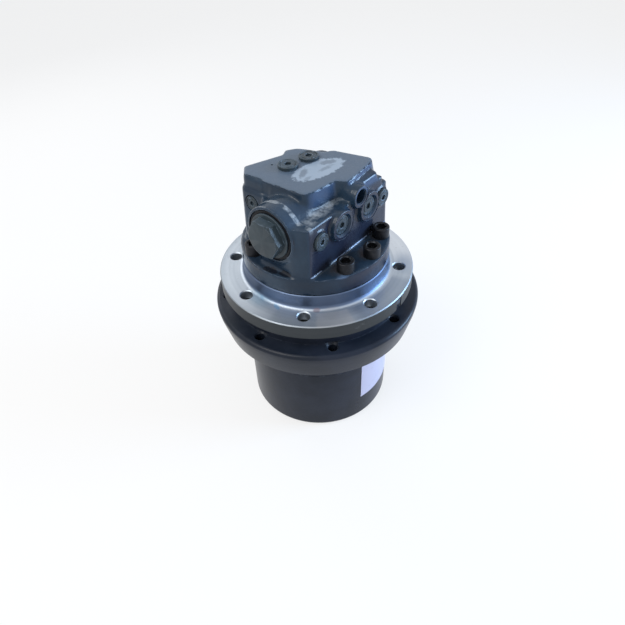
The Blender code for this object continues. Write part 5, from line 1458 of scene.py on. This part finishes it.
@dataclass
class Studio:
    """Pale floor, soft lights and the camera of the photograph."""

    eye: Place = (-0.3799, -0.3271, 0.5717)
    right: Place = (0.63915, -0.76837, -0.03319)
    up: Place = (0.53523, 0.41340, 0.73663)
    lens: float = 32.0
    sensor: float = 36.0
    target: Place = (0, 0, 0.2)
    floor_r: float = 6.0
    floor_z: float = -0.0002
    floor_white: float = 0.72
    floor_tones: tuple[Colour, Colour] = ((0.86, 0.86, 0.86), (0.88, 0.88, 0.88))
    white: tuple[float, ...] = (1, 1, 1, 1)
    sky: tuple[float, ...] = (0.93, 0.96, 1.0, 1)
    sky_power: float = 0.55
    lamps: tuple[Lamp, ...] = (
        Lamp("window", (0.85, -0.95, 0.45), 0.6, 24.0, (0.44, 0.68, 1.0)),
        Lamp("key", (-0.9, 0.2, 1.3), 0.8, 11.0, (1.0, 0.98, 0.95)),
        Lamp("back", (0.2, 1.2, 0.8), 0.6, 3.0))

    def floor(self) -> None:
        """Pale floor that shows white to the camera and keeps the shadow."""
        shape = bmesh.new()
        bmesh.ops.create_circle(shape, cap_ends=True, segments=96, radius=self.floor_r)
        bmesh.ops.translate(shape, verts=shape.verts, vec=(0, 0, self.floor_z))
        mesh = bpy.data.meshes.new("floor")
        shape.to_mesh(mesh)
        shape.free()
        graph = Graph(bpy.data.materials.new("floor"))
        mesh.materials.append(graph.finish(graph.mix(graph.noise(1.5, 2.0), *self.floor_tones), 0.8))
        seen = graph.ray("Is Camera Ray").most(graph.ray("Is Glossy Ray"))
        white = graph.node("ShaderNodeEmission", {}, {"Color": self.white, "Strength": 1.0})
        graph.show(seen * self.floor_white, Value(graph, graph.shader.outputs["BSDF"]), white)
        linked("floor", mesh)

    def world(self) -> None:
        """White surroundings for the camera and for reflections, and a softer light on the drive."""
        graph = Graph(bpy.data.worlds.new("studio"))
        graph.tree.nodes.remove(graph.tree.nodes["Background"])
        seen = graph.ray("Is Camera Ray").most(graph.ray("Is Glossy Ray")).most(graph.ray("Is Transmission Ray"))
        soft = graph.node("ShaderNodeBackground", {}, {"Color": self.sky, "Strength": self.sky_power})
        white = graph.node("ShaderNodeBackground", {}, {"Color": self.white, "Strength": 1.0})
        graph.show(seen, soft, white)
        bpy.context.scene.world = graph.holder

    def camera(self) -> None:
        """Camera at the place, turn and lens that the photograph's ellipses give."""
        data = bpy.data.cameras.new("camera")
        data.lens = self.lens
        data.sensor_width = self.sensor
        item = linked("camera", data)
        right, up = Vector(self.right), Vector(self.up)
        turn = Matrix((right, up, right.cross(up))).transposed().to_4x4()
        item.matrix_world = Matrix.Translation(self.eye) @ turn
        bpy.context.scene.camera = item

    def build(self) -> None:
        """Set the stage."""
        self.floor()
        self.world()
        self.camera()
        for lamp in self.lamps:
            lamp.build(self.target)
        bpy.context.scene.view_settings.view_transform = "Standard"
        LOG.info("studio: floor, world, camera and %d lamps", len(self.lamps))


def main() -> None:
    """Build every piece in order."""
    logging.basicConfig(level=logging.INFO, format="%(name)s %(message)s")
    InnerPieces().build()
    Spindle().build()
    Hub().build()
    block = ValveBlock()
    block.build()
    Fasteners(block).build()
    SpoolEnds(block).build()
    Springs().build()
    Studio().build()


if __name__ == "__main__":
    main()
